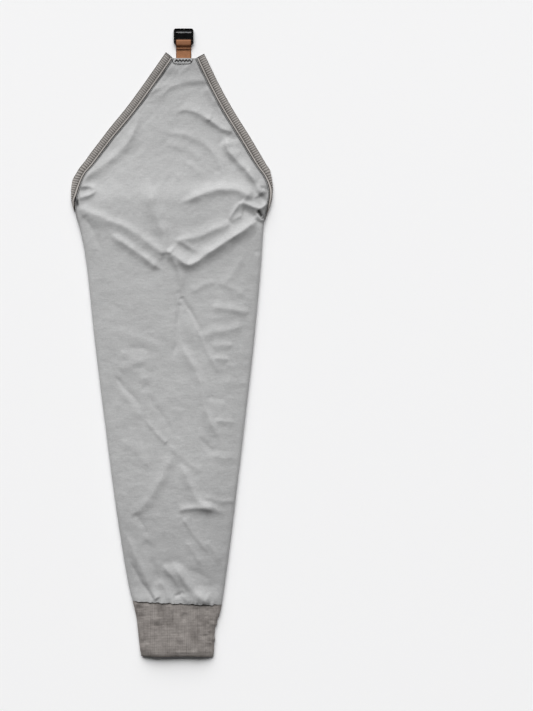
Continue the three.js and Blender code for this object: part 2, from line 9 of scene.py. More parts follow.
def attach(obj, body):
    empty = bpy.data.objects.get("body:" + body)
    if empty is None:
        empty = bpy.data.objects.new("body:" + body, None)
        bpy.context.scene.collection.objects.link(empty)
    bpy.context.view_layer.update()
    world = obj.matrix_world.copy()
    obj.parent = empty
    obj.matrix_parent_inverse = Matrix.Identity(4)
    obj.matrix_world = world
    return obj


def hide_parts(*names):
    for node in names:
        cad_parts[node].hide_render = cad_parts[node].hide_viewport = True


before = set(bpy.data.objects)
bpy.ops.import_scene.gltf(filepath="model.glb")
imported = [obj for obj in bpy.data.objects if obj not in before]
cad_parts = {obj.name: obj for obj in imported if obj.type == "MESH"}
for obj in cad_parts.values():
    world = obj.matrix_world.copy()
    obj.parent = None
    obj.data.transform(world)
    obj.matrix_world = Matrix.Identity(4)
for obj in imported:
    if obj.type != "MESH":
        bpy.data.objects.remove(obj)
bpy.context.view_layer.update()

MM = 0.001

# The squared paper that the folds are drawn on: its square in millimetres, its size in squares, and where
# the whole piece's middle lies on it, counted from its upper left corner
SQUARE = 1.22
PAPER_WIDTH = 533
PAPER_HEIGHT = 711
GRID_X = 171.9
GRID_Y = 342.4

# Sleeve, in millimetres from the cuff's seam
SLEEVE_LENGTH = 664.0
HALF_WIDTH = 123.0
CLOTH = 1.0
FOLD_EDGE = 5.4
LOFT = 7.6
LOFT_REACH = 46.0
UNDERARM_DIP = 22.0
DIP_REACH = 0.34
EDGE_FADE = 2.6
SIDE_SOFT = 5.6
FLOOR_GAP = 0.15
TUBE_ENDS = 430.0
CAP_BEGINS = 520.0
CUFF_SWELL = 1.5
SWELL_Y = 3.5
SWELL_REACH = 9.5
SEAM_VALLEY = 0.5
VALLEY_INSET = 2.2
VALLEY_REACH = 1.8
GATHER_HEIGHT = 0.25
GATHER_REACH = 7.0

# Armhole band
BAND_WIDTH = 11.5
BAND_THICKNESS = 1.2
SEAM_GAP = 0.35
CORNER_GAP = 1.2

# Cuff
CUFF_LENGTH = 66.0
CUFF_HALF_WIDTH = 43.5
CUFF_OFFSET = 7.0
CUFF_WALL = 1.6
WRIST_EDGE = 5.2
WRIST_LOFT = 4.8
CUFF_REACH = 24.0

# Strap and slide
STRAP_WIDTH = 18.6
STRAP_THICKNESS = 1.2
STRAP_OFFSET = 14.2
STRAP_TAIL = 8.0
STRAP_FREE = 10.6
STRAP_TURNED = 5.9
STITCHED = 3.0
LOOP_CLEARANCE = 0.3
LOOP_BEND = 0.5
SLIDE_WIDTH = 24.0
SLIDE_THICKNESS = 3.8
SLIDE_CORNER = 2.6
SLIDE_LOW_CORNER = 2.9
SLOT_CORNER = 0.7
PANEL_CORNER = 0.6
BAR_CORNER = 0.1
EDGE_ROUND = 0.42
SLIDE_SIDE = 2.4
OUTER_BAR = 3.2
GARMENT_SLOT = 1.8
PLATE = 7.1
STRAP_SLOT = 3.1
STRAP_BAR = 4.4
STRAP_BAR_HEIGHT = 1.7
PLATE_DISH = 0.7
OUTER_DISH = 1.2

SLIDE_LENGTH = STRAP_BAR + STRAP_SLOT + PLATE + GARMENT_SLOT + OUTER_BAR
SLIDE_TOP = SLEEVE_LENGTH + STRAP_FREE + STRAP_TURNED + SLIDE_LENGTH

# The cuff's seam in the part's own frame, which starts at the whole piece's middle
SEAM_Y = -(SLIDE_TOP - CUFF_LENGTH) / 2

# The creased sides: share of the length from the cuff's seam, share of the half width from the middle line
LEFT_SIDE = [
    (-0.02, 0.376), (0.003, 0.391), (0.012, 0.405), (0.041, 0.439), (0.1145, 0.506), (0.188, 0.566),
    (0.335, 0.669), (0.482, 0.767), (0.629, 0.854), (0.684, 0.911), (0.702, 0.941), (0.7152, 0.96),
    (0.73, 0.988), (0.742, 0.999), (0.757, 1), (0.776, 0.986), (0.794, 0.96), (0.82, 0.935),
    (0.86, 0.915), (1.02, 0.87),
]
RIGHT_SIDE = [
    (-0.02, 0.462), (-0.004, 0.494), (0.0116, 0.508), (0.041, 0.53), (0.1145, 0.583), (0.188, 0.631),
    (0.335, 0.725), (0.482, 0.815), (0.629, 0.887), (0.6957, 0.913), (0.7114, 0.938), (0.7298, 0.977),
    (0.745, 0.995), (0.76, 1), (0.776, 0.994), (0.794, 0.972), (0.82, 0.95), (0.86, 0.93), (1.02, 0.87),
]
# The cloth's edge from each armhole corner up to the hem: along and across on the left, then on the right
ARMHOLE = [
    (0.7152, -0.96, 0.6957, 0.913), (0.7317, -0.953, 0.728, 0.948), (0.751, -0.938, 0.756, 0.964),
    (0.784, -0.874, 0.782, 0.918), (0.807, -0.774, 0.804, 0.833), (0.8505, -0.598, 0.85, 0.683),
    (0.8976, -0.387, 0.9, 0.516), (0.949, -0.183, 0.949, 0.372), (1, 0.01, 1, 0.24),
]
# Heights along the sleeve: share of the length, of the creased side's height, of the loft
HEIGHTS = [
    (-0.02, 1, 0.64), (0.01, 1, 0.64), (0.08, 1, 0.88), (0.3, 1, 0.92), (0.66, 1, 1), (0.735, 0.98, 0.96),
    (0.78, 0.5, 0.72), (0.84, 0.34, 0.42), (0.95, 0.36, 0.2), (0.985, 0.58, 0.12), (1.02, 0.6, 0.06),
]
# The cuff's sides: share of its length from the wrist, shares of its half width to the left and right
CUFF_SIDES = [
    (0, -1.02, 1), (0.12, -1.055, 1.02), (0.5, -1.12, 1.05), (0.67, -1.15, 1.105), (0.83, -1.2, 1.185),
]

# The folds: height in millimetres, reach of the flank to the left and to the right of the way, how crisp
# the crest is, how far it takes to rise from its first end and to die out at its last, then the points of
# the crest on squared paper, x to the right and y downwards
FOLDS = [
    # cap
    (2.9, 8, 6.5, 1.6, 12, 40, (75, 188), (88, 176), (100, 168), (113, 158), (126, 145.5), (133, 133),
     (138, 121), (141, 108)),
    (2.2, 3.2, 2.2, 1.4, 2, 6, (79, 187.5), (84, 186.6), (90, 186.6), (97, 190.5)),
    (2.7, 3.2, 2.6, 1.4, 2, 6, (79, 198.6), (84, 197.4), (89, 195.5), (97, 190.5)),
    (1.3, 7, 4.4, 1.7, 18, 3, (148, 102), (163, 93.5), (172, 86.5), (184, 82), (197, 80.6), (209, 81.5)),
    (0.9, 4, 3.4, 1.7, 6, 10, (145, 97), (153, 90.5), (160, 87.5), (169, 83.5)),
    (1.2, 7, 6, 2, 8, 8, (203, 87), (211, 95), (218, 106)),
    (-0.5, 2.2, 2.2, 2, 3, 3, (178.4, 63), (179, 68), (180, 73)),
    (0.3, 3.4, 3, 2, 3, 3, (171, 65), (175, 69), (178, 72)),
    (0.3, 3.4, 3, 2, 3, 3, (190, 65), (185, 69), (182, 73)),
    (-0.5, 4, 3.4, 2, 3, 3, (159, 77), (166, 74.6), (172, 76)),
    (2.5, 8, 4.4, 1.6, 30, 6, (176, 113), (184, 110.4), (191, 110.6), (198, 113), (205, 117),
     (211, 121.4)),
    (2.7, 6, 4.4, 1.5, 5, 6, (207, 117.6), (215, 123.4), (222, 128), (233, 133.4)),
    (1.2, 6, 4.4, 1.7, 44, 16, (160, 133), (181, 134), (194, 138.6), (205, 144.5), (213, 152),
     (219, 162), (223, 174)),
    (0.7, 6, 5, 1.8, 14, 16, (166, 144), (184, 148), (195, 155), (204, 168)),
    (0.5, 5, 4, 1.8, 12, 12, (182, 161), (194, 168), (204, 178)),
    (4.2, 7.5, 5.2, 1.7, 9, 9, (225, 138), (230, 152), (239, 163), (247, 170), (253, 179), (258, 187),
     (263, 196)),
    (0.7, 4.2, 4.2, 2, 4, 4, (230, 154), (236, 151.6), (241, 154)),
    (0.9, 4.2, 4, 2, 4, 4, (246, 170), (251.5, 176), (257, 182)),
    (-0.6, 3.2, 3.4, 1.8, 3, 4, (240, 135.6), (235.5, 138.4), (229, 142)),
    (3.6, 6.6, 6, 1.6, 26, 9, (182, 203), (190, 200), (199, 195.8), (209, 192), (220, 189.6),
     (232, 189.4), (243, 192.5), (253, 198.6)),
    (-2, 2.2, 2.6, 1.6, 3, 3, (260, 188), (266, 189.6), (270, 196)),
    (1.6, 3.4, 3, 1.6, 4, 4, (254, 198), (262, 193), (268, 190.6)),
    (-1.7, 2.6, 2.8, 1.7, 3, 3, (259, 195), (264, 201), (266.5, 206)),
    # flap at the right corner
    (2.6, 2.6, 3.4, 1.2, 8, 2, (228.6, 222), (235, 212), (241.5, 203.4)),
    (3.6, 3.4, 3.2, 1.3, 2, 2, (241.5, 203.4), (249, 205.2), (257, 208.4), (262, 207.6), (268, 204)),
    (-2, 3.6, 4.6, 1.6, 3, 4, (243, 209), (250, 213), (257, 217)),
    (1.9, 2.2, 3, 1.3, 3, 1, (254.5, 211.5), (259, 217), (264, 223.4)),
    (-4.5, 1.6, 2.2, 1.8, 1.5, 1.5, (257.4, 210.4), (259.8, 213.6), (263, 218.6)),
    (-1.5, 2.4, 3.4, 1.7, 3, 1, (253, 219), (259, 222.4), (264.5, 224)),
    (1, 2.6, 2.8, 1.5, 3, 3, (231, 222.5), (237, 218.5), (242, 215)),
    (-0.4, 2.2, 2.2, 1.6, 3, 3, (230.5, 218.5), (235.5, 214.5), (240, 210)),
    # the V under the armhole
    (2.5, 5.4, 8, 1.6, 8, 8, (79, 208), (90, 213), (104, 218.4), (127, 228.4), (147, 241.4),
     (158, 249.6), (168, 257)),
    (0.5, 5, 4.6, 1.7, 8, 9, (90, 217.6), (99, 223), (108, 231), (118, 243)),
    (2.7, 4.8, 5.4, 1.6, 12, 11, (111, 235), (124, 243.4), (134, 250.2), (142, 255.8), (150, 261.6),
     (161, 270)),
    (-0.9, 4, 5.6, 1.8, 5, 14, (82, 216), (90, 225), (97, 238), (102, 250)),
    (3.2, 6, 8, 1.8, 24, 6, (149, 182), (152, 199), (157, 215), (162, 229), (166.5, 243), (170, 255)),
    (1.5, 4, 3.2, 1.5, 6, 6, (176, 240.6), (186, 245.5), (198, 252)),
    (2.3, 6, 6.6, 1.6, 11, 5, (176, 240.4), (194, 238.4), (207, 233.4), (219, 228.6), (231, 222.6)),
    (5.2, 6.4, 6.2, 1.4, 6, 10, (167, 251), (176, 257), (182, 261.5), (188.5, 265), (197, 262),
     (209, 253.5), (221, 245.5), (234, 237), (246, 229), (257, 220)),
    (1.8, 4, 3.4, 1.5, 5, 12, (169, 255), (175.5, 264), (180, 275), (182, 290)),
    (-0.5, 2.8, 2.8, 1.8, 3, 4, (177.6, 290), (180, 295), (182.6, 301)),
    (-1.1, 2.8, 2.4, 1.5, 2, 12, (180.6, 297), (188.6, 308), (195.6, 320), (203, 337)),
    (-1.05, 2.4, 2.8, 1.5, 2, 18, (180.6, 303), (178.4, 319), (176.8, 338), (173.6, 360)),
    (1, 9, 8, 2, 16, 16, (186, 312), (192, 330), (199, 350)),
    # under the right corner
    (0.8, 5.2, 5.4, 1.7, 8, 9, (220, 286), (227, 287), (235, 290), (246, 297)),
    (0.7, 5, 5.4, 1.8, 7, 10, (219, 287), (229, 279), (236, 270), (243, 256)),
    (1.45, 5.4, 4.6, 1.6, 9, 6, (211, 307), (224, 308.6), (235, 310.8), (249, 312.4)),
    (1, 5.6, 5.4, 1.7, 12, 9, (199, 336.5), (213, 332.6), (224, 330.6), (244, 325)),
    (-0.6, 2.8, 2.8, 1.8, 2, 1, (254, 252), (259, 252.5), (263, 253)),
    (0.8, 5, 4, 1.8, 8, 8, (191, 294), (203, 285.6), (216, 282)),
    (0.3, 5, 4, 1.8, 8, 8, (203, 317), (219, 318), (238, 317)),
    # middle
    (0.8, 5.6, 8, 1.9, 16, 14, (115, 331), (130, 335.4), (141, 339), (153, 343), (163, 347)),
    (0.8, 6.2, 6.4, 1.8, 8, 12, (119, 369), (136, 363.4), (153, 357)),
    (-0.5, 3.6, 3.6, 2, 6, 6, (130, 347), (139, 348.6), (149, 350.2)),
    (-0.35, 3.4, 3.4, 2, 4, 4, (132, 369), (141, 367), (148, 365.6)),
    (2.3, 4, 7.4, 1.5, 22, 24, (180, 342), (185.8, 352), (191, 361), (196.6, 371.4), (201.2, 383),
     (203.6, 397), (207, 411), (213, 425), (221, 441)),
    (0.8, 3.6, 2.6, 1.5, 9, 10, (195, 324), (203, 342), (209, 355), (220, 374)),
    (-0.95, 3.4, 4.2, 1.6, 14, 12, (114, 374), (120, 381.6), (127, 389), (134, 397), (142, 407.4)),
    (0.6, 3.8, 6.4, 1.8, 14, 10, (118, 386), (126, 396), (134, 406.6), (143, 418)),
    (1.1, 4, 2.6, 1.4, 12, 2, (146, 420), (154, 430), (160.6, 437), (167, 443.4)),
    (-0.6, 3.6, 4.2, 1.8, 8, 11, (148, 393), (157, 408), (165, 420), (172, 434)),
    (-0.3, 3.4, 3.4, 2, 4, 4, (141, 391), (146.5, 387), (151, 384)),
    (0.5, 4.6, 4.6, 2, 4, 4, (139, 382), (146, 378.5), (153, 375)),
    (0.6, 6, 5, 1.9, 10, 10, (120, 351), (131, 357.4), (140, 363)),
    (0.7, 4, 3.8, 1.8, 5, 5, (212, 346.4), (222, 345.6), (233, 345.4)),
    (0.8, 3.6, 3.2, 1.7, 5, 5, (213, 358), (221, 359), (230, 359.4)),
    (0.35, 3.4, 3.4, 1.8, 4, 4, (225, 364.8), (233, 366), (241, 366.4)),
    (0.4, 4.2, 4, 1.8, 8, 5, (223, 381.6), (236, 382.6), (247, 383)),
    (-0.45, 3.2, 3.8, 1.8, 6, 7, (206, 397), (215, 398), (227, 399.4)),
    (0.85, 4.4, 3.6, 1.7, 5, 4, (215, 420), (224, 421.4), (234, 422.4)),
    (0.8, 5.4, 5.2, 1.8, 7, 8, (213, 455), (225, 457.5), (236, 457)),
    (-0.6, 3.6, 3.8, 1.8, 6, 6, (200, 437), (207, 446), (215, 454)),
    (0.5, 4.4, 4.4, 1.8, 8, 8, (169, 445), (182, 456), (191, 464), (204, 472)),
    (0.7, 7, 6, 1.9, 12, 12, (120, 440), (138, 452), (150, 470)),
    # wrist
    (1.4, 7, 6, 1.8, 22, 16, (130, 515), (137, 510), (145, 503.6), (152.5, 494.6), (158.5, 484),
     (165.5, 472), (172, 452)),
    (-1.1, 5, 5, 1.7, 6, 8, (134, 512), (139, 519), (144, 526), (149, 536)),
    (2, 5.4, 5.4, 1.7, 30, 2, (123, 530), (130, 543), (135, 554), (139.6, 564), (145, 575),
     (150.5, 586), (157.5, 599)),
    (-1.1, 3, 3, 1.6, 8, 3, (131, 562), (138, 574.6), (146, 587.4), (154.6, 600)),
    (-1.1, 5.4, 5.4, 1.9, 8, 5, (145, 539), (151, 556), (155, 569), (159, 584)),
    (2.5, 5, 6.4, 1.7, 18, 16, (180, 463), (187, 477), (192, 490), (198, 500), (206, 505.6),
     (214, 508.6), (222, 514)),
    (0.9, 4.2, 3.8, 1.6, 7, 4, (204, 496), (215, 499.4), (224, 500.6), (236, 500.6)),
    (2.1, 5, 3.2, 1.6, 6, 6, (179, 511.4), (187, 508.6), (197, 507.6), (205, 508.4), (213, 511.4)),
    (1, 5, 2.4, 1.4, 4, 12, (182.6, 518), (190, 528), (198, 539), (209, 553)),
    (0.7, 3.6, 2.6, 1.6, 6, 8, (186, 541), (194, 552), (202, 565)),
    (0.6, 4, 3.2, 1.7, 6, 8, (206, 540), (213, 550), (220, 564)),
    (-0.8, 5, 5, 1.8, 8, 20, (161, 567), (171.5, 562), (180, 564), (188, 569.4), (199, 573), (210, 582)),
    (4.2, 8.4, 7, 1.7, 15, 8, (173, 561), (178.6, 571), (185.4, 581), (193, 589.4), (201, 596.6),
     (210, 603.6)),
    (1.6, 5, 3.6, 1.7, 8, 5, (162.6, 563), (171, 573.4), (177.6, 583.4), (182, 595)),
    (0.9, 4, 3.8, 1.7, 6, 4, (157, 578), (164, 587), (171, 600)),
    (-1.2, 2.2, 2.4, 1.6, 2, 2, (174.6, 596.4), (179, 594), (184, 591.6)),
    (1, 3.4, 2.8, 1.6, 3, 2, (180, 593.6), (185, 597), (190, 602)),
    (0.8, 4.4, 4, 1.7, 5, 2, (186, 592), (192, 599), (197, 604)),
]

# Places where the armhole's dark inside would show past a fold, painted on the cloth as near-black shade:
# reach in millimetres, then the two ends on squared paper
PAINTED_HOLLOWS = [(1.5, (258.8, 211.4), (262.8, 218)), (1.7, (77.2, 200.2), (77.7, 204.8))]


def at(gx, gy):
    """A square of the squared paper as millimetres in the sleeve's own frame."""
    return (gx - GRID_X) * SQUARE, (GRID_Y - gy) * SQUARE - SEAM_Y


def steps(table, column):
    """A smooth curve through one column of a table over its first, that never overshoots the rows."""
    x = np.array([row[0] for row in table], float)
    y = np.array([row[column] for row in table], float)
    slope = np.diff(y) / np.diff(x)
    before = np.concatenate([slope[:1], slope])
    after = np.concatenate([slope, slope[-1:]])
    total = before + after
    same = before * after > 0
    tangent = np.where(same, 2 * before * after / np.where(same, total, 1), 0)

    def curve(where):
        where = np.asarray(where, float)
        i = np.clip(np.searchsorted(x, where, side="right") - 1, 0, len(slope) - 1)
        step = x[i + 1] - x[i]
        t = np.clip((where - x[i]) / step, 0, 1)
        t2, t3 = t * t, t ** 3
        return (
            (2 * t3 - 3 * t2 + 1) * y[i]
            + (t3 - 2 * t2 + t) * step * tangent[i]
            + (3 * t2 - 2 * t3) * y[i + 1]
            + (t3 - t2) * step * tangent[i + 1]
        )

    return curve


def ramp(value, low, high):
    """0 below low, 1 above high, smooth between."""
    t = np.clip((np.asarray(value, float) - low) / (high - low), 0, 1)
    return t * t * (3 - 2 * t)


left_out, right_out = steps(LEFT_SIDE, 1), steps(RIGHT_SIDE, 1)
edge_share, loft_share = steps(HEIGHTS, 1), steps(HEIGHTS, 2)


def left_side(y):
    """Where the left crease lies at a height up the sleeve."""
    return -HALF_WIDTH * left_out(np.asarray(y) / SLEEVE_LENGTH)


def right_side(y):
    return HALF_WIDTH * right_out(np.asarray(y) / SLEEVE_LENGTH)


def edge_height(y):
    return FOLD_EDGE * edge_share(np.asarray(y) / SLEEVE_LENGTH)


def loft_height(y):
    return LOFT * loft_share(np.asarray(y) / SLEEVE_LENGTH)


def side_round(inset, radius):
    """How far a rounded side has risen at a distance in from it, from 0 to 1."""
    return np.sqrt(np.maximum(1 - (1 - np.clip(inset / radius, 0, 1)) ** 2, 0))


def back_height(inset, edge):
    """Height of the sleeve's underside, which is level but for its rounded sides."""
    return edge / 2 * (1 - side_round(inset, edge / 2))


def through_points(points, each=12):
    """A rounded line through points, as a row of closely spaced points."""
    p = np.array(points, float)
    p = np.vstack([p[:1], p, p[-1:]])
    line = []
    for i in range(1, len(p) - 2):
        t = np.linspace(0, 1, each, endpoint=False)[:, None]
        a, b, c, d = p[i - 1], p[i], p[i + 1], p[i + 2]
        line.append(
            b + 0.5 * t * (c - a + t * (2 * a - 5 * b + 4 * c - d + t * (3 * (b - c) + d - a)))
        )
    line.append(p[-1:])
    return np.vstack(line)


def evenly(line, count):
    """The line's points respaced to a count of equal steps."""
    run = np.concatenate([[0], np.cumsum(np.linalg.norm(np.diff(line, axis=0), axis=1))])
    want = np.linspace(0, run[-1], count + 1)
    return np.column_stack([np.interp(want, run, line[:, k]) for k in range(line.shape[1])])


def smooth_noise(x, y, size, seed):
    """Soft unevenness of about one millimetre either way, with hills of that size."""
    flat = zip(np.ravel(x) / size, np.ravel(y) / size)
    return np.array([noise.noise(Vector((a, b, seed))) for a, b in flat]).reshape(np.shape(x))


def fold_relief(x, y):
    """What the folds add to the laid cloth's height at each place."""
    total = np.zeros(np.shape(x))
    x = x + 1.3 * smooth_noise(x, y, 17, 11.0)
    y = y + 1.3 * smooth_noise(x, y, 17, 12.0)
    for high, left_flank, right_flank, crisp, rise, fall, *path in FOLDS:
        line = through_points([at(*p) for p in path], 6)
        run = np.concatenate([[0], np.cumsum(np.linalg.norm(np.diff(line, axis=0), axis=1))])
        reach = 3.2 * max(left_flank, right_flank)
        near = (
            (x > line[:, 0].min() - reach) & (x < line[:, 0].max() + reach)
            & (y > line[:, 1].min() - reach) & (y < line[:, 1].max() + reach)
        )
        px, py = x[near], y[near]
        best = np.full(px.shape, 1e9)
        side = np.ones(px.shape)
        where = np.zeros(px.shape)
        for i in range(1, len(line)):
            a, b = line[i - 1], line[i]
            way = b - a
            length = math.hypot(*way)
            t = np.clip(((px - a[0]) * way[0] + (py - a[1]) * way[1]) / length ** 2, 0, 1)
            ox, oy = px - a[0] - t * way[0], py - a[1] - t * way[1]
            far = np.hypot(ox, oy)
            closer = far < best
            best = np.where(closer, far, best)
            side = np.where(closer, way[0] * oy - way[1] * ox, side)
            where = np.where(closer, run[i - 1] + t * length, where)
        flank = np.where(side > 0, left_flank, right_flank)
        alive = ramp(where, -0.2 * rise, rise) * ramp(run[-1] - where, -0.2 * fall, fall)
        uneven = min(1, 4 / max(left_flank, right_flank))
        wobble = 0.16 * np.sin(where / 6.1 + path[0][0]) + 0.1 * np.sin(where / 2.9 + path[0][1])
        lumps = 1 + uneven * wobble
        total[near] += high * alive * lumps * np.exp(-((best / (flank * (0.4 + 0.6 * alive))) ** crisp))
    return total


def gathers(x, y):
    """Small pleats where the sleeve is drawn in to the cuff."""
    drift = 2.2 * smooth_noise(x, y, 19, 5.0)
    fine = 0.6 * np.sin(x / 0.93 + 1.7 * drift)
    pleats = np.sin(x / 1.75 + drift * 2) + fine + 0.5 * np.sin(x / 3.1 - drift)
    return GATHER_HEIGHT * pleats * np.exp(-y / GATHER_REACH)


def sleeve_front(x, y, inset):
    """Height of the sleeve's outer face. inset is how far a place lies in from the cloth's own edge."""
    to_side = np.minimum(x - left_side(y), right_side(y) - x)
    edge = edge_height(y)
    fade = ramp(inset, 0, EDGE_FADE) * ramp(SLEEVE_LENGTH - y, 0, 4)
    hills = 0.6 * smooth_noise(x, y, 38, 1.0) + 0.32 * smooth_noise(x, y, 13, 2.0)
    slanting = 0.2 * smooth_noise((x + y) * 0.35, (x - y) * 0.9, 7, 3.0) * ramp(y, 380, 460)
    level = 0.12 * smooth_noise(x * 0.4, y, 6, 4.0) * ramp(-y, -440, -360)
    relief = fold_relief(x, y) + hills + slanting + level
    swell = CUFF_SWELL * np.exp(-(((y - SWELL_Y) / SWELL_REACH) ** 2))
    relief = relief * fade + (gathers(x, y) + swell) * ramp(inset, 0, 9)
    rise = 1 - (1 - np.clip(inset / LOFT_REACH, 0, 1)) ** 2
    low, high = -0.1 * LOFT_REACH, 1.15 * LOFT_REACH
    flatter = ramp(inset, low, high) - ramp(0, low, high)
    rise = rise + (flatter - rise) * ramp(y, TUBE_ENDS, CAP_BEGINS)
    valley = SEAM_VALLEY * np.exp(-((inset - VALLEY_INSET) / VALLEY_REACH) ** 2) * ramp(y, 460, 500)
    top = np.maximum(edge + loft_height(y) * rise + relief - valley, CLOTH + FLOOR_GAP)
    soft = edge / 2 + (SIDE_SOFT - edge / 2) * ramp(-y, -470, -420)
    return edge / 2 + (top - edge / 2) * (side_round(to_side, edge / 2) + side_round(to_side, soft)) / 2


def places(width, radius, inner, side=(0, 0.04, 0.16, 0.4, 1)):
    """Places across a row, as distances from its left end, close together round the two sides."""
    first = np.array(side) * radius
    share = np.linspace(0, 1, inner + 1)[1:-1]
    share = share - 0.2 * np.sin(2 * math.pi * share) / (2 * math.pi)
    middle = radius + (width - 2 * radius) * share
    return np.concatenate([first, middle, (width - first)[::-1]])


def quads_of(before, after, loop):
    """The four corners of each face between two rows."""
    k = np.roll(np.arange(len(before)), -1) if loop else np.arange(1, len(before))
    i = np.arange(len(k))
    return np.column_stack([before[i], before[k], after[k], after[i]])


def shell(name, closed, strips, wall, every=1):
    """A closed body from an outer skin: rows that are whole loops, then open strips on the loops' first
    points. The inner skin lies a wall further in and has every second point where every is 2."""
    outer, index, quads = [], [], []
    count = 0
    for row in [*closed, *strips]:
        outer.append(row)
        index.append(np.arange(count, count + len(row)))
        count += len(row)
    outer = np.vstack(outer)
    loops = len(closed)
    width = len(strips[0]) if len(strips) else 0
    for j in range(1, loops):
        quads.append(quads_of(index[j - 1], index[j], True))
    for j in range(max(loops, 1), len(index)):
        quads.append(quads_of(index[j - 1][:width], index[j], False))
    quads = np.vstack(quads)
    a, b, c, d = (outer[quads[:, k]] for k in range(4))
    face_normal = np.cross(c - a, d - b)
    normals = np.zeros_like(outer)
    for k in range(4):
        np.add.at(normals, quads[:, k], face_normal)
    normals /= np.linalg.norm(normals, axis=1)[:, None]

    twin = np.full(count, -1)
    kept = []
    inner_index = []
    for j, row in enumerate(index):
        if (j if j < loops else j - loops + 1 if loops else j) % every:
            continue
        chosen = row[::every]
        twin[chosen] = count + len(kept) + np.arange(len(chosen))
        kept.extend(chosen)
        inner_index.append((j, chosen))
    inner = outer[kept] - wall * normals[kept]
    inner_quads = []
    for (_, before), (j, after) in zip(inner_index, inner_index[1:]):
        loop = j < loops
        if not loop:
            before = before[: len(after)]
        inner_quads.append(twin[quads_of(before, after, loop)][:, ::-1])

    rims = []
    if loops:
        rims.append(list(index[0]))
    if len(strips):
        last = index[loops - 1] if loops else index[0]
        first_strip = max(loops, 1)
        back = [last[0], *last[:width - 2:-1]] if loops else list(last)
        up = [row[width - 1] for row in index[first_strip:]]
        over = list(index[-1][width - 2:: -1])
        down = [row[0] for row in index[first_strip:-1]][::-1]
        rims.append(back + up + over + down)
    else:
        rims.append([index[-1][0], *index[-1][:0:-1]])
    rim_faces = []
    sharp = np.zeros(count + len(kept), bool)
    for rim in rims:
        n = len(rim)
        sharp[rim] = True
        for k in range(0, n, every):
            f = [rim[(k + s) % n] for s in range(every + 1)]
            c0, c1 = twin[f[0]], twin[f[-1]]
            rim_faces += [(f[1], f[0], c0), (f[1], c0, c1)]
            if every == 2:
                rim_faces.append((f[2], f[1], c1))
            sharp[[c0, c1]] = True
    faces = quads.tolist() + np.vstack(inner_quads).tolist()
    faces += [tuple(int(v) for v in f) for f in rim_faces]
    piece = mesh_piece(name, np.vstack([outer, inner]), faces)
    edges = np.zeros(len(piece.data.edges) * 2, int)
    piece.data.edges.foreach_get("vertices", edges)
    edges = edges.reshape(-1, 2)
    mark = piece.data.attributes.new("sharp_edge", "BOOLEAN", "EDGE")
    mark.data.foreach_set("value", sharp[edges].all(axis=1))
    piece["outer_count"] = int(count)
    return piece, np.array(kept)


def mesh_piece(name, points, faces):
    """A smooth mesh object from millimetres in the sleeve's own frame."""
    mesh = bpy.data.meshes.new(name)
    placed = (np.asarray(points) + np.array([0, SEAM_Y, 0])) * MM
    mesh.from_pydata(placed.tolist(), [], faces)
    mesh.polygons.foreach_set("use_smooth", np.ones(len(mesh.polygons), bool))
    mesh.update()
    piece = bpy.data.objects.new(name, mesh)
    bpy.context.scene.collection.objects.link(piece)
    return piece


def write_attribute(piece, name, outer_values, kept):
    """Values for the outer skin's points, and the same for the inner skin's points behind them."""
    values = np.concatenate([outer_values, outer_values[kept]]).astype(np.float32)
    attribute = piece.data.attributes.new(name, "FLOAT", "POINT")
    attribute.data.foreach_set("value", values)


# Making the sleeve
CORNER_LEFT = np.array([ARMHOLE[0][1] * HALF_WIDTH, ARMHOLE[0][0] * SLEEVE_LENGTH])
CORNER_RIGHT = np.array([ARMHOLE[0][3] * HALF_WIDTH, ARMHOLE[0][2] * SLEEVE_LENGTH])
SEAM_LEFT = LEFT_SIDE[1][0] * SLEEVE_LENGTH
SEAM_RIGHT = RIGHT_SIDE[1][0] * SLEEVE_LENGTH
CLOSED_ROWS = 320
CAP_ROWS = 130
FRONT_COLUMNS = 152
BACK_COLUMNS = 16
FAR_IN = 50.0


def armhole_edges():
    """The cloth's edge from each armhole corner up to the hem."""
    left = [(row[1] * HALF_WIDTH, row[0] * SLEEVE_LENGTH) for row in ARMHOLE]
    right = [(row[3] * HALF_WIDTH, row[2] * SLEEVE_LENGTH) for row in ARMHOLE]
    return through_points(left, 24), through_points(right, 24)


def back_point(left, right, share, dip_share):
    """A place on the back between two side places, lower in the middle where the underarm dips."""
    at_y = left[1] + (right[1] - left[1]) * share
    at_y = at_y - dip_share * UNDERARM_DIP * (1 - np.abs(2 * share - 1) ** 5)
    return left[0] + (right[0] - left[0]) * share, at_y


def hem_wave(x):
    """How the gathered hem wavers where the cuff is sewn on."""
    return 0.5 * np.sin(x / 2.3) + 0.35 * np.sin(x / 1.1 + 1)


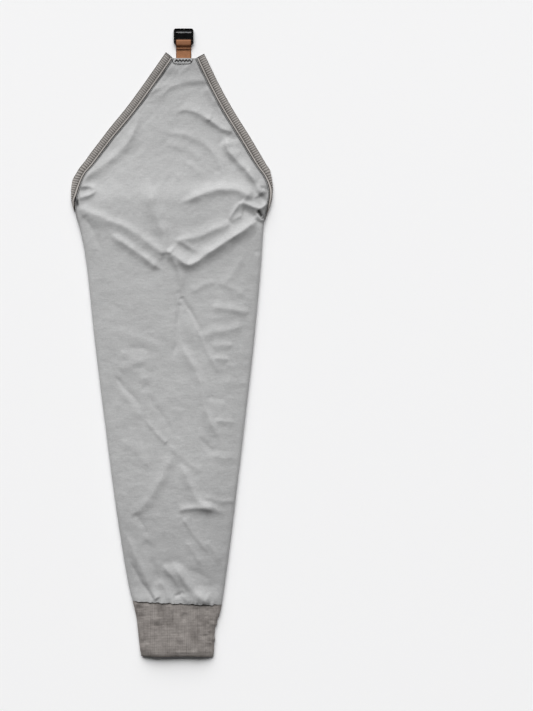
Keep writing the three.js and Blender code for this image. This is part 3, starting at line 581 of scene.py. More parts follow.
def sleeve_rows():
    """The tube's rows as loops, the cap's rows as open strips, and each place's distance in from the edge."""
    shares = np.linspace(0, 1, CLOSED_ROWS + 1)
    front, back, insets = [], [], []
    for share in shares:
        ly = SEAM_LEFT + (CORNER_LEFT[1] - SEAM_LEFT) * share
        ry = SEAM_RIGHT + (CORNER_RIGHT[1] - SEAM_RIGHT) * share
        left, right = np.array([left_side(ly), ly]), np.array([right_side(ry), ry])
        width = np.linalg.norm(right - left)
        radius = edge_height((ly + ry) / 2) / 2
        d = places(width, radius, FRONT_COLUMNS)
        front.append(left + (right - left) * (d / width)[:, None])
        insets.append(np.minimum(d, width - d))
        e = places(width, radius, BACK_COLUMNS)[1:-1][::-1]
        bx, by = back_point(left, right, e / width, ramp(share, 1 - DIP_REACH, 1))
        back.append(np.column_stack([bx, by, back_height(np.minimum(e, width - e), edge_height(by))]))
    left, right = (evenly(line, CAP_ROWS) for line in armhole_edges())
    cap, cap_insets = [], []
    for a, b in zip(left[1:], right[1:]):
        width = np.linalg.norm(b - a)
        d = places(width, edge_height((a[1] + b[1]) / 2) / 2, FRONT_COLUMNS)
        cap.append(a + (b - a) * (d / width)[:, None])
        cap_insets.append(np.minimum(d, width - d))
    flat = np.array(front + cap)
    inset = np.array(insets + cap_insets)
    x, y = flat[..., 0], flat[..., 1]
    height = sleeve_front(x, y, inset)
    drop = np.exp(-np.maximum(y, 0) / 3.0) * ramp(inset, 0, 8)
    y = y - drop * (0.5 + hem_wave(x))
    skin = np.stack([x, y, height], axis=2)
    closed = [np.vstack([skin[j], back[j]]) for j in range(CLOSED_ROWS + 1)]
    return closed, list(skin[CLOSED_ROWS + 1:]), inset


closed_rows, cap_strips, insets = sleeve_rows()
sleeve, sleeve_kept = shell("woven_sleeve", closed_rows, cap_strips, CLOTH, every=2)
row_insets = []
for row, row_inset in zip(closed_rows, insets):
    row_insets += [row_inset, np.full(len(row) - len(row_inset), FAR_IN)]
row_insets.append(insets[CLOSED_ROWS + 1:].ravel())
write_attribute(sleeve, "inset_mm", np.concatenate(row_insets), sleeve_kept)
outer_points = np.vstack(closed_rows + cap_strips)
hollow_shade_values = np.zeros(len(outer_points))
# near-black painted shade where the armhole's inside would show past a fold
for reach, first, last in PAINTED_HOLLOWS:
    a, b = np.array(at(*first)), np.array(at(*last))
    t = np.clip((outer_points[:, :2] - a) @ (b - a) / ((b - a) @ (b - a)), 0, 1)[:, None]
    far = np.linalg.norm(outer_points[:, :2] - a - t * (b - a), axis=1)
    hollow_shade_values = np.maximum(hollow_shade_values, np.exp(-((far / reach) ** 4)))
write_attribute(sleeve, "hollow_shade", hollow_shade_values, sleeve_kept)


# Making the armhole band
def half_girth(y):
    """Half the way round the flattened tube at a height."""
    return right_side(y) - left_side(y) + (math.pi - 2) * edge_height(y) / 2


def turn_of(x, y):
    """How far round the flattened tube a place on its front lies, from 0 at the left to 1 at the right."""
    radius = edge_height(y) / 2
    from_left, from_right = x - left_side(y), right_side(y) - x
    inset = np.maximum(np.minimum(from_left, from_right), 0)
    bend = radius * np.arccos(np.maximum(1 - inset / radius, 0))
    share = (bend + np.maximum(inset - radius, 0)) / half_girth(y)
    return np.where(from_left < from_right, share, 1 - share)


def on_tube(turn, y):
    """The tube's outer face at a turn from -2 to 1, with its front level between the sides."""
    on_back = (turn < 0) & (turn > -1)
    share = np.where(turn < -1, 2 + turn, np.abs(turn))
    radius = edge_height(y) / 2
    along = np.minimum(share, 1 - share) * half_girth(y)
    angle = np.minimum(along / radius, math.pi / 2)
    inset = radius * (1 - np.cos(angle)) + np.maximum(along - radius * math.pi / 2, 0)
    x = np.where(share < 0.5, left_side(y) + inset, right_side(y) - inset)
    return np.column_stack([x, y, radius + np.where(on_back, -1, 1) * radius * np.sin(angle)])


BAND_STEP = 0.62
BAND_PLACES = np.concatenate([[0, 0.012], np.linspace(0.03, 0.97, 37), [0.988, 1]])
BAND_SIDE_STEPS = 150
BAND_BACK_STEPS = 100
RIB_PITCH = 2.8
RIB_HEIGHT = 0.45
CORD_PITCH = 2.1

# Places across the band, in millimetres from its seam: a raised stripe, the ribbed body and its first cord
STRIPE_MIDDLE = 1.6
STRIPE_HALF = 0.7
STRIPE_HEIGHT = 0.16
BODY_FROM = 2.7
BODY_TO = 10.8
FIRST_CORD = 3.6
FACE_DROP = 0.25

# How wide the band lies on each side, as shares of its width over millimetres above the cuff's seam
LAID_LEFT = [
    (470, 1), (503, 1), (511, 0.94), (521, 0.88), (540, 0.965), (560, 0.925), (582, 0.975), (664, 1),
]
LAID_RIGHT = [
    (478, 1), (488, 1.05), (500, 1.09), (510, 1.05), (523, 0.92), (533, 1), (543, 1.02), (664, 1.02),
]

# Just above the left corner the band stands off the cloth: how far, at what height and over what reach
SLIT = 1.5
SLIT_Y = 489.0
SLIT_REACH = 5.0


def band_seam():
    """The line round the armhole that the band is sewn to, unrolled flat, and the girth it is unrolled by."""
    left, right = armhole_edges()
    girth = float(half_girth(CORNER_LEFT[1]))
    width = np.linalg.norm(CORNER_RIGHT - CORNER_LEFT)
    radius = float(edge_height(CORNER_LEFT[1]) / 2)
    e = places(width, radius, BAND_BACK_STEPS)
    bx, by = back_point(CORNER_LEFT, CORNER_RIGHT, e / width, 1)
    a = evenly(left, BAND_SIDE_STEPS)[1:][::-1]
    c = evenly(right, BAND_SIDE_STEPS)[1:]
    return np.vstack([
        np.column_stack([turn_of(a[:, 0], a[:, 1]) * girth, a[:, 1]]),
        np.column_stack([-turn_of(bx, by) * girth, by]),
        np.column_stack([(turn_of(c[:, 0], c[:, 1]) - 2) * girth, c[:, 1]]),
    ]), girth


laid_left, laid_right = steps(LAID_LEFT, 1), steps(LAID_RIGHT, 1)


def bump(value, middle, half):
    """1 at the middle, flat on top, and nearly 0 past the half width."""
    return np.exp(-(((value - middle) / half) ** 4))


def band_relief(across, along):
    """The elastic's face: a striped selvedge at the seam, then crosswise ribs that lengthwise cords break."""
    body = ramp(across, BODY_FROM, BODY_FROM + 0.6) * ramp(-across, -BODY_TO, 0.5 - BODY_TO)
    ribs = 0.5 + 0.5 * np.sin(along * 2 * math.pi / RIB_PITCH)
    cords = 0.5 + 0.5 * np.cos((across - FIRST_CORD) * 2 * math.pi / CORD_PITCH)
    stripe = STRIPE_HEIGHT * bump(across, STRIPE_MIDDLE, STRIPE_HALF) * (0.2 + 0.8 * ribs)
    return body * RIB_HEIGHT * (0.15 + 0.85 * ribs * (0.45 + 0.55 * cords)) + stripe - FACE_DROP


def armhole_band():
    """The elastic strip, laid on the flattened tube outside the seam line, and its length."""
    seam, girth = band_seam()
    steps_round = 2 * int(np.linalg.norm(np.diff(seam, axis=0), axis=1).sum() / BAND_STEP / 2)
    seam = evenly(seam, steps_round)
    run = np.concatenate([[0], np.cumsum(np.linalg.norm(np.diff(seam, axis=0), axis=1))])

    def along(distance):
        return np.column_stack([np.interp(distance, run, seam[:, k]) for k in range(2)])

    way = along(run + BAND_WIDTH / 2) - along(np.maximum(run - BAND_WIDTH / 2, 0))
    way /= np.linalg.norm(way, axis=1)[:, None]
    corners = [np.array([0, CORNER_LEFT[1]]), np.array([-girth, CORNER_RIGHT[1]])]
    far = np.minimum(*(np.linalg.norm(seam - c, axis=1) for c in corners))
    gap = SEAM_GAP + CORNER_GAP * np.exp(-((far / BAND_WIDTH) ** 2))
    rows, across, length = [], [], []
    for (round_at, y), (ahead_round, ahead_y), stand_off, distance in zip(seam, way, gap, run):
        on_left = distance < run[-1] / 2
        laid = laid_left(y) if on_left else laid_right(y)
        slit = SLIT * math.exp(-((y - SLIT_Y) / SLIT_REACH) ** 2) if on_left else 0
        out = stand_off + slit + (BAND_WIDTH * laid - slit) * BAND_PLACES
        rows.append(on_tube((round_at + ahead_y * out) / girth, y - ahead_round * out))
        across.append(BAND_WIDTH * BAND_PLACES)
        length.append(np.full(len(BAND_PLACES), distance))
    grid = np.array(rows)
    outward = np.cross(np.gradient(grid, axis=0), np.gradient(grid, axis=1))
    outward /= np.linalg.norm(outward, axis=2)[..., None]
    grid += outward * band_relief(np.array(across), np.array(length))[..., None]
    piece, kept = shell("elastic_band", [], list(grid), BAND_THICKNESS, every=2)
    write_attribute(piece, "across_mm", np.concatenate(across), kept)
    write_attribute(piece, "along_mm", np.concatenate(length), kept)
    return piece, run[-1]


band, band_length = armhole_band()


# Making the cuff
CUFF_ROWS = 62
CUFF_COLUMNS = 86

# Soft dents and lumps of the cuff: height in millimetres, then reach across and along and place in squares
CUFF_DENTS = [
    (-0.9, 3.2, 2.2, 139, 608), (0.5, 3, 2, 146, 606), (-0.8, 5, 1.8, 158, 625), (0.5, 5, 2, 156, 619),
    (-0.9, 2.6, 1.6, 205, 635.5), (0.6, 2, 1.6, 209, 631), (-0.7, 1.2, 1, 207, 610),
    (-0.6, 2.4, 0.8, 206, 616),
    (-0.7, 7, 3, 142, 642), (-0.5, 4, 2, 195, 609), (0.5, 6, 1.6, 185, 612), (-0.5, 5, 1.4, 141, 616),
    (0.6, 9, 1.2, 186, 652), (-0.5, 3, 3, 198, 619), (0.4, 3, 3, 172, 609), (-0.4, 5, 2, 176, 633),
]


def cuff_front(x, y, inset, edge, loft, reach):
    """Height of the cuff's outer face."""
    rise = 1 - (1 - np.clip(inset / reach, 0, 1)) ** 2
    relief = 0.35 * smooth_noise(x, y, 13, 7.0) + 0.2 * smooth_noise(x, y, 6, 8.0)
    for high, wide, tall, gx, gy in CUFF_DENTS:
        cx, cy = at(gx, gy)
        far = ((x - cx) / (wide * SQUARE)) ** 2 + ((y - cy) / (tall * SQUARE)) ** 2
        relief = relief + high * np.exp(-far)
    crumple = np.sin((x * 0.55 + y) / 1.5 + 2 * smooth_noise(x, y, 9, 3.0))
    relief = relief + 0.3 * crumple * np.exp(-((x - 47) / 5) ** 2) * ramp(y, -64, -50) * ramp(-y, 8, 22)
    top = edge + loft * rise + relief * ramp(inset, 0, 3)
    rounding = (side_round(inset, edge / 2) + side_round(inset, WRIST_EDGE)) / 2
    return edge / 2 + (top - edge / 2) * rounding


def cuff():
    top_left = (float(left_side(SEAM_LEFT)), SEAM_LEFT - SEAM_GAP)
    top_right = (float(right_side(SEAM_RIGHT)), SEAM_RIGHT - SEAM_GAP)
    table = [
        (share, CUFF_OFFSET + left * CUFF_HALF_WIDTH, CUFF_OFFSET + right * CUFF_HALF_WIDTH)
        for share, left, right in CUFF_SIDES
    ]
    table.append((1, top_left[0], top_right[0]))
    left_at, right_at = steps(table, 1), steps(table, 2)
    rows, across, along = [], [], []
    for j in range(CUFF_ROWS + 1):
        share = j / CUFF_ROWS
        crimp = (0.35 * math.sin(share * 23) + 0.3 * math.sin(share * 41 + 1)) * math.sin(math.pi * share)
        left = np.array([left_at(share), -CUFF_LENGTH + share * (top_left[1] + CUFF_LENGTH)])
        right = np.array([right_at(share) + crimp, -CUFF_LENGTH + share * (top_right[1] + CUFF_LENGTH)])
        edge = WRIST_EDGE + (float(edge_height(0)) - WRIST_EDGE) * share
        loft = WRIST_LOFT + (float(loft_height(0)) - WRIST_LOFT) * share
        reach = CUFF_REACH + (LOFT_REACH - CUFF_REACH) * share ** 3
        roll = 1 - 0.2 * math.exp(-share * 24)
        width = np.linalg.norm(right - left)
        d = places(width, edge / 2, CUFF_COLUMNS)
        flat = left + (right - left) * (d / width)[:, None]
        inset = np.minimum(d, width - d)
        bend = 0.4 * np.sin(flat[:, 0] / 9) * math.exp(-share * 8)
        z = cuff_front(flat[:, 0], flat[:, 1], inset, edge, loft, reach) * roll
        tuck = 0.8 * ramp(share, 0.94, 1.0) * ramp(inset, 0, 6)
        front = np.column_stack([flat[:, 0], flat[:, 1] + bend, z - tuck])
        e = d[1:-1][::-1]
        under = left + (right - left) * (e / width)[:, None]
        back = np.column_stack([under, back_height(np.minimum(e, width - e), edge)])
        rows.append(np.vstack([front, back]))
        across.append(np.concatenate([flat[:, 0], under[:, 0]]))
        along.append(np.full(len(rows[-1]), share * CUFF_LENGTH))
    piece, kept = shell("knit_cuff", rows, [], CUFF_WALL)
    write_attribute(piece, "across_mm", np.concatenate(across), kept)
    write_attribute(piece, "along_mm", np.concatenate(along), kept)
    return piece


knit_cuff = cuff()

# Making the strap and the slide
TURNED_END = SLEEVE_LENGTH + STRAP_FREE
SLIDE_Y = TURNED_END + STRAP_TURNED
STRAP_SLOT_Y = SLIDE_Y + STRAP_BAR
PLATE_Y = STRAP_SLOT_Y + STRAP_SLOT
GARMENT_SLOT_Y = PLATE_Y + PLATE
OUTER_BAR_Y = GARMENT_SLOT_Y + GARMENT_SLOT
BAR_BOTTOM = STRAP_THICKNESS + LOOP_CLEARANCE
BAR_TOP = BAR_BOTTOM + STRAP_BAR_HEIGHT


def strap_path():
    """The strap's upper face as it leaves the hem, then its outer face round the slide's bar and back."""
    top = BAR_TOP + LOOP_CLEARANCE + STRAP_THICKNESS
    bend = LOOP_BEND + STRAP_THICKNESS
    turn_y = STRAP_SLOT_Y + LOOP_CLEARANCE - LOOP_BEND
    path = [(y, 0.0) for y in np.linspace(SLEEVE_LENGTH - STRAP_TAIL, turn_y, 22)]
    for angle in np.radians(np.linspace(-90, 0, 9)[1:]):
        path.append((turn_y + bend * math.cos(angle), bend + bend * math.sin(angle)))
    for angle in np.radians(np.linspace(0, 90, 9)):
        path.append((turn_y + bend * math.cos(angle), top - bend + bend * math.sin(angle)))
    near = SLIDE_Y - LOOP_CLEARANCE
    path += [(y, top) for y in np.linspace(turn_y, near, 6)[1:]]
    sewn = TURNED_END + STITCHED
    flat_top = 2 * STRAP_THICKNESS
    for t in np.linspace(0, 1, 12)[1:]:
        path.append((near + (sewn - 0.6 - near) * t, top + (flat_top - top) * t ** 1.5))
    path += [(TURNED_END + 0.8, flat_top), (TURNED_END, flat_top - 0.1)]
    return np.array(path)


def webbing_strap():
    """The strap along its path, and its length."""
    path = evenly(strap_path(), 120)
    run = np.linspace(0, 1, len(path))
    length = np.linalg.norm(np.diff(path, axis=0), axis=1).sum()
    half = STRAP_WIDTH / 2
    across = np.concatenate([[-1, -0.985, -0.95], np.linspace(-0.88, 0.88, 14), [0.95, 0.985, 1]])
    lower = np.concatenate([[0.28, 0.1, 0], np.zeros(14), [0, 0.1, 0.28]])
    tangent = np.gradient(path, axis=0)
    tangent /= np.linalg.norm(tangent, axis=1)[:, None]
    rows, x_values, y_values = [], [], []
    for (y, z), (ty, tz), s in zip(path, tangent, run):
        pull = 1 - 0.012 * math.sin(math.pi * ramp(s, 0.55, 0.95)) - 0.004 * math.sin(s * 60)
        sink = lower * STRAP_THICKNESS
        x = STRAP_OFFSET + across * half * pull
        rows.append(np.column_stack([x, y - tz * sink, z + ty * sink])[::-1])
        x_values.append((across * half)[::-1])
        y_values.append(np.full(len(across), s * length))
    piece, kept = shell("webbing_strap", [], rows, STRAP_THICKNESS)
    write_attribute(piece, "across_mm", np.concatenate(x_values), kept)
    write_attribute(piece, "along_mm", np.concatenate(y_values), kept)
    return piece, length


strap, strap_length = webbing_strap()


def rounded_outline(x0, x1, y0, y1, radius, each=8, low_radius=None):
    """A rectangle with rounded corners, the lower two with their own radius where one is given."""
    low = radius if low_radius is None else low_radius
    corners = [(x1, y0, -90, low), (x1, y1, 0, radius), (x0, y1, 90, radius), (x0, y0, 180, low)]
    points = []
    for x, y, start, r in corners:
        cx, cy = x - r * np.sign(x), y + r * (1 if y == y0 else -1)
        for a in np.radians(np.linspace(start, start + 90, each + 1)):
            points.append((cx + r * math.cos(a), cy + r * math.sin(a)))
    return points


def prism(name, outline, z0, z1):
    """A block with that outline, flat faces up and down."""
    n = len(outline)
    points = [(x, y, z0) for x, y in outline] + [(x, y, z1) for x, y in outline]
    faces = [tuple(range(n))[::-1], tuple(range(n, 2 * n))]
    faces += [(i, (i + 1) % n, n + (i + 1) % n, n + i) for i in range(n)]
    return mesh_piece(name, points, faces)


def baked(piece):
    """The piece as its modifiers leave it, with none left on it."""
    graph = bpy.context.evaluated_depsgraph_get()
    made = bpy.data.meshes.new_from_object(piece.evaluated_get(graph))
    piece.modifiers.clear()
    old = piece.data
    piece.data = made
    bpy.data.meshes.remove(old)
    return piece


def cut(piece, *tools):
    """Take the tools' shapes out of the piece."""
    for tool in tools:
        change = piece.modifiers.new("cut", "BOOLEAN")
        change.operation = "DIFFERENCE"
        change.solver = "EXACT"
        change.object = tool
    baked(piece)
    for tool in tools:
        bpy.data.objects.remove(tool)
    return piece


def slide_buckle():
    """The slide: a rounded block with its two slots, the room round its lower bar and two shallow dishes."""
    half = SLIDE_WIDTH / 2
    inside = half - SLIDE_SIDE
    end = OUTER_BAR_Y + OUTER_BAR
    outline = rounded_outline(-half, half, SLIDE_Y, end, SLIDE_CORNER, low_radius=SLIDE_LOW_CORNER)
    body = prism("slide", outline, 0.0, SLIDE_THICKNESS)
    below, above = -2.0, 9.0
    bar_from, bar_to = SLIDE_Y + below, STRAP_SLOT_Y + 0.4
    outer_floor, plate_floor = SLIDE_THICKNESS - OUTER_DISH, SLIDE_THICKNESS - PLATE_DISH
    openings = [
        ("strap slot", STRAP_SLOT_Y, PLATE_Y, SLOT_CORNER, 4, below, above),
        ("garment slot", GARMENT_SLOT_Y - 0.4, OUTER_BAR_Y + 0.8, SLOT_CORNER, 4, below, above),
        ("outer dish", OUTER_BAR_Y - 0.5, end - 0.9, PANEL_CORNER, 4, outer_floor, above),
        ("under the bar", bar_from, bar_to, BAR_CORNER, 2, below, BAR_BOTTOM),
        ("over the bar", bar_from, bar_to, BAR_CORNER, 2, BAR_TOP, above),
        ("plate dish", PLATE_Y + 0.5, GARMENT_SLOT_Y - 0.5, PANEL_CORNER, 4, plate_floor, above),
    ]
    cut(body, *(
        prism(name, rounded_outline(-inside, inside, y0, y1, radius, each), z0, z1)
        for name, y0, y1, radius, each, z0, z1 in openings
    ))
    bevel = body.modifiers.new("rounded edges", "BEVEL")
    bevel.width = EDGE_ROUND * MM
    bevel.segments = 3
    bevel.limit_method = "ANGLE"
    bevel.angle_limit = math.radians(40)
    bevel.harden_normals = True
    baked(body)
    body.data.transform(Matrix.Translation((STRAP_OFFSET * MM, 0, 0)))
    body.name = "glossy_slide"
    return body


slide = slide_buckle()


# Finishes
class Wire:
    """A socket's value that takes part in sums and products."""

    def __init__(self, recipe, socket):
        self.recipe, self.socket = recipe, socket

    def _sum(self, operation, *values):
        return self.recipe.out("ShaderNodeMath", {"operation": operation}, dict(enumerate(values)))

    def __add__(self, other):
        return self._sum("ADD", self, other)

    def __radd__(self, other):
        return self._sum("ADD", other, self)

    def __sub__(self, other):
        return self._sum("SUBTRACT", self, other)

    def __rsub__(self, other):
        return self._sum("SUBTRACT", other, self)

    def __mul__(self, other):
        return self._sum("MULTIPLY", self, other)

    def __rmul__(self, other):
        return self._sum("MULTIPLY", other, self)

    def sine(self):
        return self._sum("SINE", self)

    def wave(self, pitch):
        """From -1 to 1 and back over every pitch."""
        return (self * (2 * math.pi / pitch)).sine()

    def size(self):
        return self._sum("ABSOLUTE", self)

    def from_to(self, low, high):
        """0 below low, 1 above high, smooth between."""
        return self.recipe.out(
            "ShaderNodeMapRange", {"interpolation_type": "SMOOTHSTEP"},
            {"Value": self, "From Min": low, "From Max": high, "To Min": 0.0, "To Max": 1.0}, "Result",
        )

    def stripe(self, low, high, soft):
        """1 between low and high, 0 outside."""
        return self.from_to(low - soft, low + soft) * (1 - self.from_to(high - soft, high + soft))


class Recipe:
    """A material in the making."""

    def __init__(self, name, colour, roughness):
        self.material = bpy.data.materials.new(name)
        self.material.use_nodes = True
        self.tree = self.material.node_tree
        self.shader = self.tree.nodes["Principled BSDF"]
        self.shader.inputs["Base Color"].default_value = (*colour, 1)
        self.shader.inputs["Roughness"].default_value = roughness
        self.material.diffuse_color = (*colour, 1)

    def node(self, kind, settings, values):
        made = self.tree.nodes.new(kind)
        for key, value in settings.items():
            setattr(made, key, value)
        for key, value in values.items():
            self.put(made.inputs[key], value)
        return made

    def put(self, socket, value):
        if isinstance(value, Wire):
            self.tree.links.new(value.socket, socket)
        else:
            socket.default_value = value

    def out(self, kind, settings, values, output=0):
        return Wire(self, self.node(kind, settings, values).outputs[output])

    def place(self):
        """Object coordinates in millimetres, as three values."""
        where = self.out("ShaderNodeTexCoord", {}, {}, "Object")
        parts = self.node("ShaderNodeSeparateXYZ", {}, {"Vector": where})
        return where, [Wire(self, parts.outputs[k]) * 1000.0 for k in range(3)]

    def mark(self, name):
        return self.out("ShaderNodeAttribute", {"attribute_name": name}, {}, "Fac")

    def clouds(self, where, size_mm, detail=2.0, rough=0.5):
        values = {"Vector": where, "Scale": 1000.0 / size_mm, "Detail": detail, "Roughness": rough}
        return self.out("ShaderNodeTexNoise", {}, values, "Fac")

    def drawn_out(self, where, scale):
        """Coordinates that stretch a pattern along the directions where scale is small."""
        return self.out("ShaderNodeMapping", {}, {"Vector": where, "Scale": scale})

    def blend(self, share, first, second):
        made = self.node("ShaderNodeMix", {"data_type": "RGBA"}, {"Factor": share})
        for socket, value in ((made.inputs[6], first), (made.inputs[7], second)):
            self.put(socket, value if isinstance(value, Wire) else (*value, 1))
        return Wire(self, made.outputs[2])

    def feed(self, name, value):
        self.put(self.shader.inputs[name], value)

    def raise_surface(self, height, depth_mm, under=None):
        values = {"Height": height, "Strength": 1.0, "Distance": depth_mm * MM}
        if under is not None:
            values["Normal"] = under
        return self.out("ShaderNodeBump", {}, values, "Normal")


CLOTH_LIGHT = (0.463, 0.465, 0.464)
CLOTH_DEEP = (0.362, 0.362, 0.363)
CLOTH_SEAM_SHADE = (0.19, 0.188, 0.187)
ELASTIC_PALE = (0.5, 0.47, 0.445)
ELASTIC_DARK = (0.05, 0.044, 0.04)
KNIT_PALE = (0.31, 0.285, 0.268)
KNIT_DARK = (0.125, 0.112, 0.104)
BROWN_PALE = (0.37, 0.165, 0.075)
BROWN_DARK = (0.1, 0.034, 0.013)
SLIDE_BLACK = (0.0025, 0.0025, 0.0025)
THREAD_DARK = (0.022, 0.02, 0.019)
THREAD_BROWN = (0.17, 0.07, 0.035)
HOLLOW_SHADE_DARK = (0.012, 0.012, 0.012)
SLIDE_HAZE = (0.005, 0.0048, 0.0048)
TABLE_PALE = (0.905, 0.905, 0.91)

# Threads and ribs, in millimetres from one to the next
WARP_PITCH = 0.42
WEFT_PITCH = 0.5
WALE_PITCH = 2.3
COURSE_PITCH = 1.9
WEBBING_RIB = 0.8
WEBBING_THREAD = 0.55

# The cloth's tone: its share of the light colour at the wrist, then the painted light and shade that change
# it on the way up (lighter just above the cuff and up the sleeve towards the lamp), as from and to in
# millimetres above the whole piece's middle and the change between them
WRIST_TONE = 0.49
CLOTH_PAINTED_LIGHT = [
    (-312.0, -285.0, -0.35), (-260.0, -120.0, 0.56), (60.0, 200.0, -0.08), (270.0, 345.0, -0.32),
]

# Colour across the band, in millimetres from its seam: where the painted shadow by the seam ends, the pale
# stripe, and the groove that is painted in shade
SEAM_SHADE = 0.75
PALE_STRIPE = (1.0, 2.1)
GROOVE_SHADE = (2.4, 3.5)


def woven_cloth():
    r = Recipe("woven cloth", CLOTH_LIGHT, 0.62)
    where, (x, y, _) = r.place()
    mottle = r.clouds(where, 26, 3.0) * 0.6 + r.clouds(where, 5, 2.0) * 0.4
    slubs = r.drawn_out(where, (0.25, 1.0, 1.0))
    grain = r.clouds(where, 1.3, 2.0) * 0.6 + r.clouds(slubs, 1.7, 1.0) * 0.4
    share = (mottle - 0.5) * 0.55 + (grain - 0.5) * 2.1 + WRIST_TONE
    # painted light and shade along the sleeve's length
    for low, high, change in CLOTH_PAINTED_LIGHT:
        share = share + y.from_to(low, high) * change
    inset = r.mark("inset_mm")
    # painted shade where the cloth curves down to the band's seam, a narrow dark line and a wider soft one,
    # only up in the cap
    seam = (1 - inset.from_to(0.2, 4.5)) * 0.5 + (1 - inset.from_to(1.0, 14.0)) * 0.16
    seam = seam * y.from_to(130.0, 160.0)
    colour = r.blend(share, CLOTH_DEEP, CLOTH_LIGHT)
    cloth = r.blend(seam, colour, CLOTH_SEAM_SHADE)
    # the painted shade of the armhole's inside, laid over the cloth's colour
    r.feed("Base Color", r.blend(r.mark("hollow_shade") * 0.97, cloth, HOLLOW_SHADE_DARK))
    weave = r.raise_surface(x.wave(WARP_PITCH) * y.wave(WEFT_PITCH) * 0.5 + 0.5, 0.04)
    streaks = r.raise_surface(r.clouds(slubs, 2.4, 2.0), 0.08, weave)
    streaks = r.raise_surface(r.clouds(where, 2.0, 2.0), 0.12, streaks)
    crinkle = r.raise_surface(r.clouds(where, 9, 3.0, 0.55), 0.5, streaks)
    r.feed("Normal", crinkle)
    r.feed("Roughness", 0.58 + mottle * 0.1)
    r.feed("Sheen Weight", 0.12)
    r.feed("Sheen Roughness", 0.4)
    r.feed("Specular IOR Level", 0.32)
    return r.material


def ribbed_elastic():
    r = Recipe("ribbed elastic", ELASTIC_PALE, 0.85)
    where, _ = r.place()
    across, along = r.mark("across_mm"), r.mark("along_mm")
    rib = along.wave(RIB_PITCH) * 0.5 + 0.5
    cord = (across - (FIRST_CORD - CORD_PITCH / 4)).wave(CORD_PITCH) * 0.5 + 0.5
    body = across.stripe(BODY_FROM + 0.2, BODY_TO - 0.1, 0.2)
    ends = 1 - along.stripe(1.0, band_length - 1.0, 0.3)
    # painted shadow along the seam, where the cloth's edge shades the band; the strip along the band's outer
    # edge is darker too
    seam = across.stripe(-1.0, SEAM_SHADE, 0.1) + across.stripe(BODY_TO, BAND_WIDTH + 1.5, 0.15) * 0.75
    # painted shade in the groove between the pale stripe and the ribs
    groove = across.stripe(*GROOVE_SHADE, 0.3)
    pale = across.stripe(*PALE_STRIPE, 0.15) * (0.3 + 0.7 * rib)
    blotch = r.clouds(where, 9, 2.0)
    dark = seam * 1.05 + ends * 0.7 + groove * 0.6
    dark = dark + body * (1 - rib) * 0.72 + body * rib * (1 - cord) * 0.34
    dark = dark + (1 - across.from_to(4.0, 9.5)) * 0.16 + pale * 0.1 + blotch * 0.14 - 0.06
    r.feed("Base Color", r.blend(dark, ELASTIC_PALE, ELASTIC_DARK))
    r.feed("Normal", r.raise_surface(r.clouds(where, 0.7, 1.0), 0.06))
    r.feed("Roughness", 0.8 + blotch * 0.12)
    r.feed("Specular IOR Level", 0.2)
    return r.material


def fine_knit():
    r = Recipe("fine knit", KNIT_PALE, 0.9)
    where, _ = r.place()
    across, along = r.mark("across_mm"), r.mark("along_mm")
    wales = across.wave(WALE_PITCH) * 0.5 + 0.5
    courses = along.wave(COURSE_PITCH) * 0.5 + 0.5
    lines = r.clouds(r.drawn_out(where, (1.0, 0.05, 1.0)), 1.5, 1.0)
    rows = r.clouds(r.drawn_out(where, (0.05, 1.0, 1.0)), 1.5, 1.0)
    blotch = r.clouds(where, 14, 3.0, 0.6)
    # painted shade along the wrist's lip, standing in for the dark mouth of the cuff and the shadow under it
    hem = along.stripe(-1.0, 1.1, 0.3)
    fold = along.stripe(3.2, 3.9, 0.2)
    dark = (1 - wales) * 0.1 + (1 - courses) * 0.1 + (lines - 0.5) * 0.5 + (rows - 0.5) * 0.5
    dark = dark + (blotch - 0.5) * 1.7 + 0.3 + hem * 0.35 - fold * 0.15
    r.feed("Base Color", r.blend(dark, KNIT_PALE, KNIT_DARK))
    knit = r.raise_surface(wales * 0.5 + courses * 0.5, 0.16)
    r.feed("Normal", r.raise_surface(r.clouds(where, 5, 3.0), 0.5, knit))
    r.feed("Roughness", 0.84 + blotch * 0.1)
    r.feed("Specular IOR Level", 0.2)
    return r.material


# How far along the strap its upper side starts to go down and the painted shade begins, and where it is sewn
# on itself, in millimetres
TURN_RUN = 33.0
SEWN_RUN = strap_length - 3.2
BORDER_FROM = 7.6
BORDER_TO = 9.2


def brown_webbing():
    r = Recipe("brown webbing", BROWN_PALE, 0.5)
    where, _ = r.place()
    across, along = r.mark("across_mm"), r.mark("along_mm")
    ribs = along.wave(WEBBING_RIB) * 0.5 + 0.5
    threads = across.wave(WEBBING_THREAD) * 0.5 + 0.5
    border = across.size().from_to(BORDER_FROM, BORDER_TO)
    wear = r.clouds(where, 7, 3.0)
    # painted shade on the turned-over part as it slopes down away from the lamp
    turned_shade = along.from_to(TURN_RUN, SEWN_RUN) * (1 - along.from_to(SEWN_RUN, SEWN_RUN + 0.6))
    # the cut end darker, partly the cut edge's own colour and partly painted shadow
    end = along.from_to(strap_length - 1.2, strap_length - 0.5)
    dark = border * 0.4 + (1 - ribs) * 0.12 + (1 - threads) * 0.06 + (wear - 0.5) * 0.5 + 0.06
    # the shade painted on the turned part and a little before it, then the dark cut end
    dark = dark + turned_shade * 0.5 + along.from_to(TURN_RUN - 3, TURN_RUN) * 0.12 + end * 0.6
    r.feed("Base Color", r.blend(dark, BROWN_PALE, BROWN_DARK))
    r.feed("Normal", r.raise_surface(ribs * 0.6 + threads * 0.4, 0.08))
    r.feed("Roughness", 0.5 + wear * 0.14)
    r.feed("Specular IOR Level", 0.22)
    return r.material


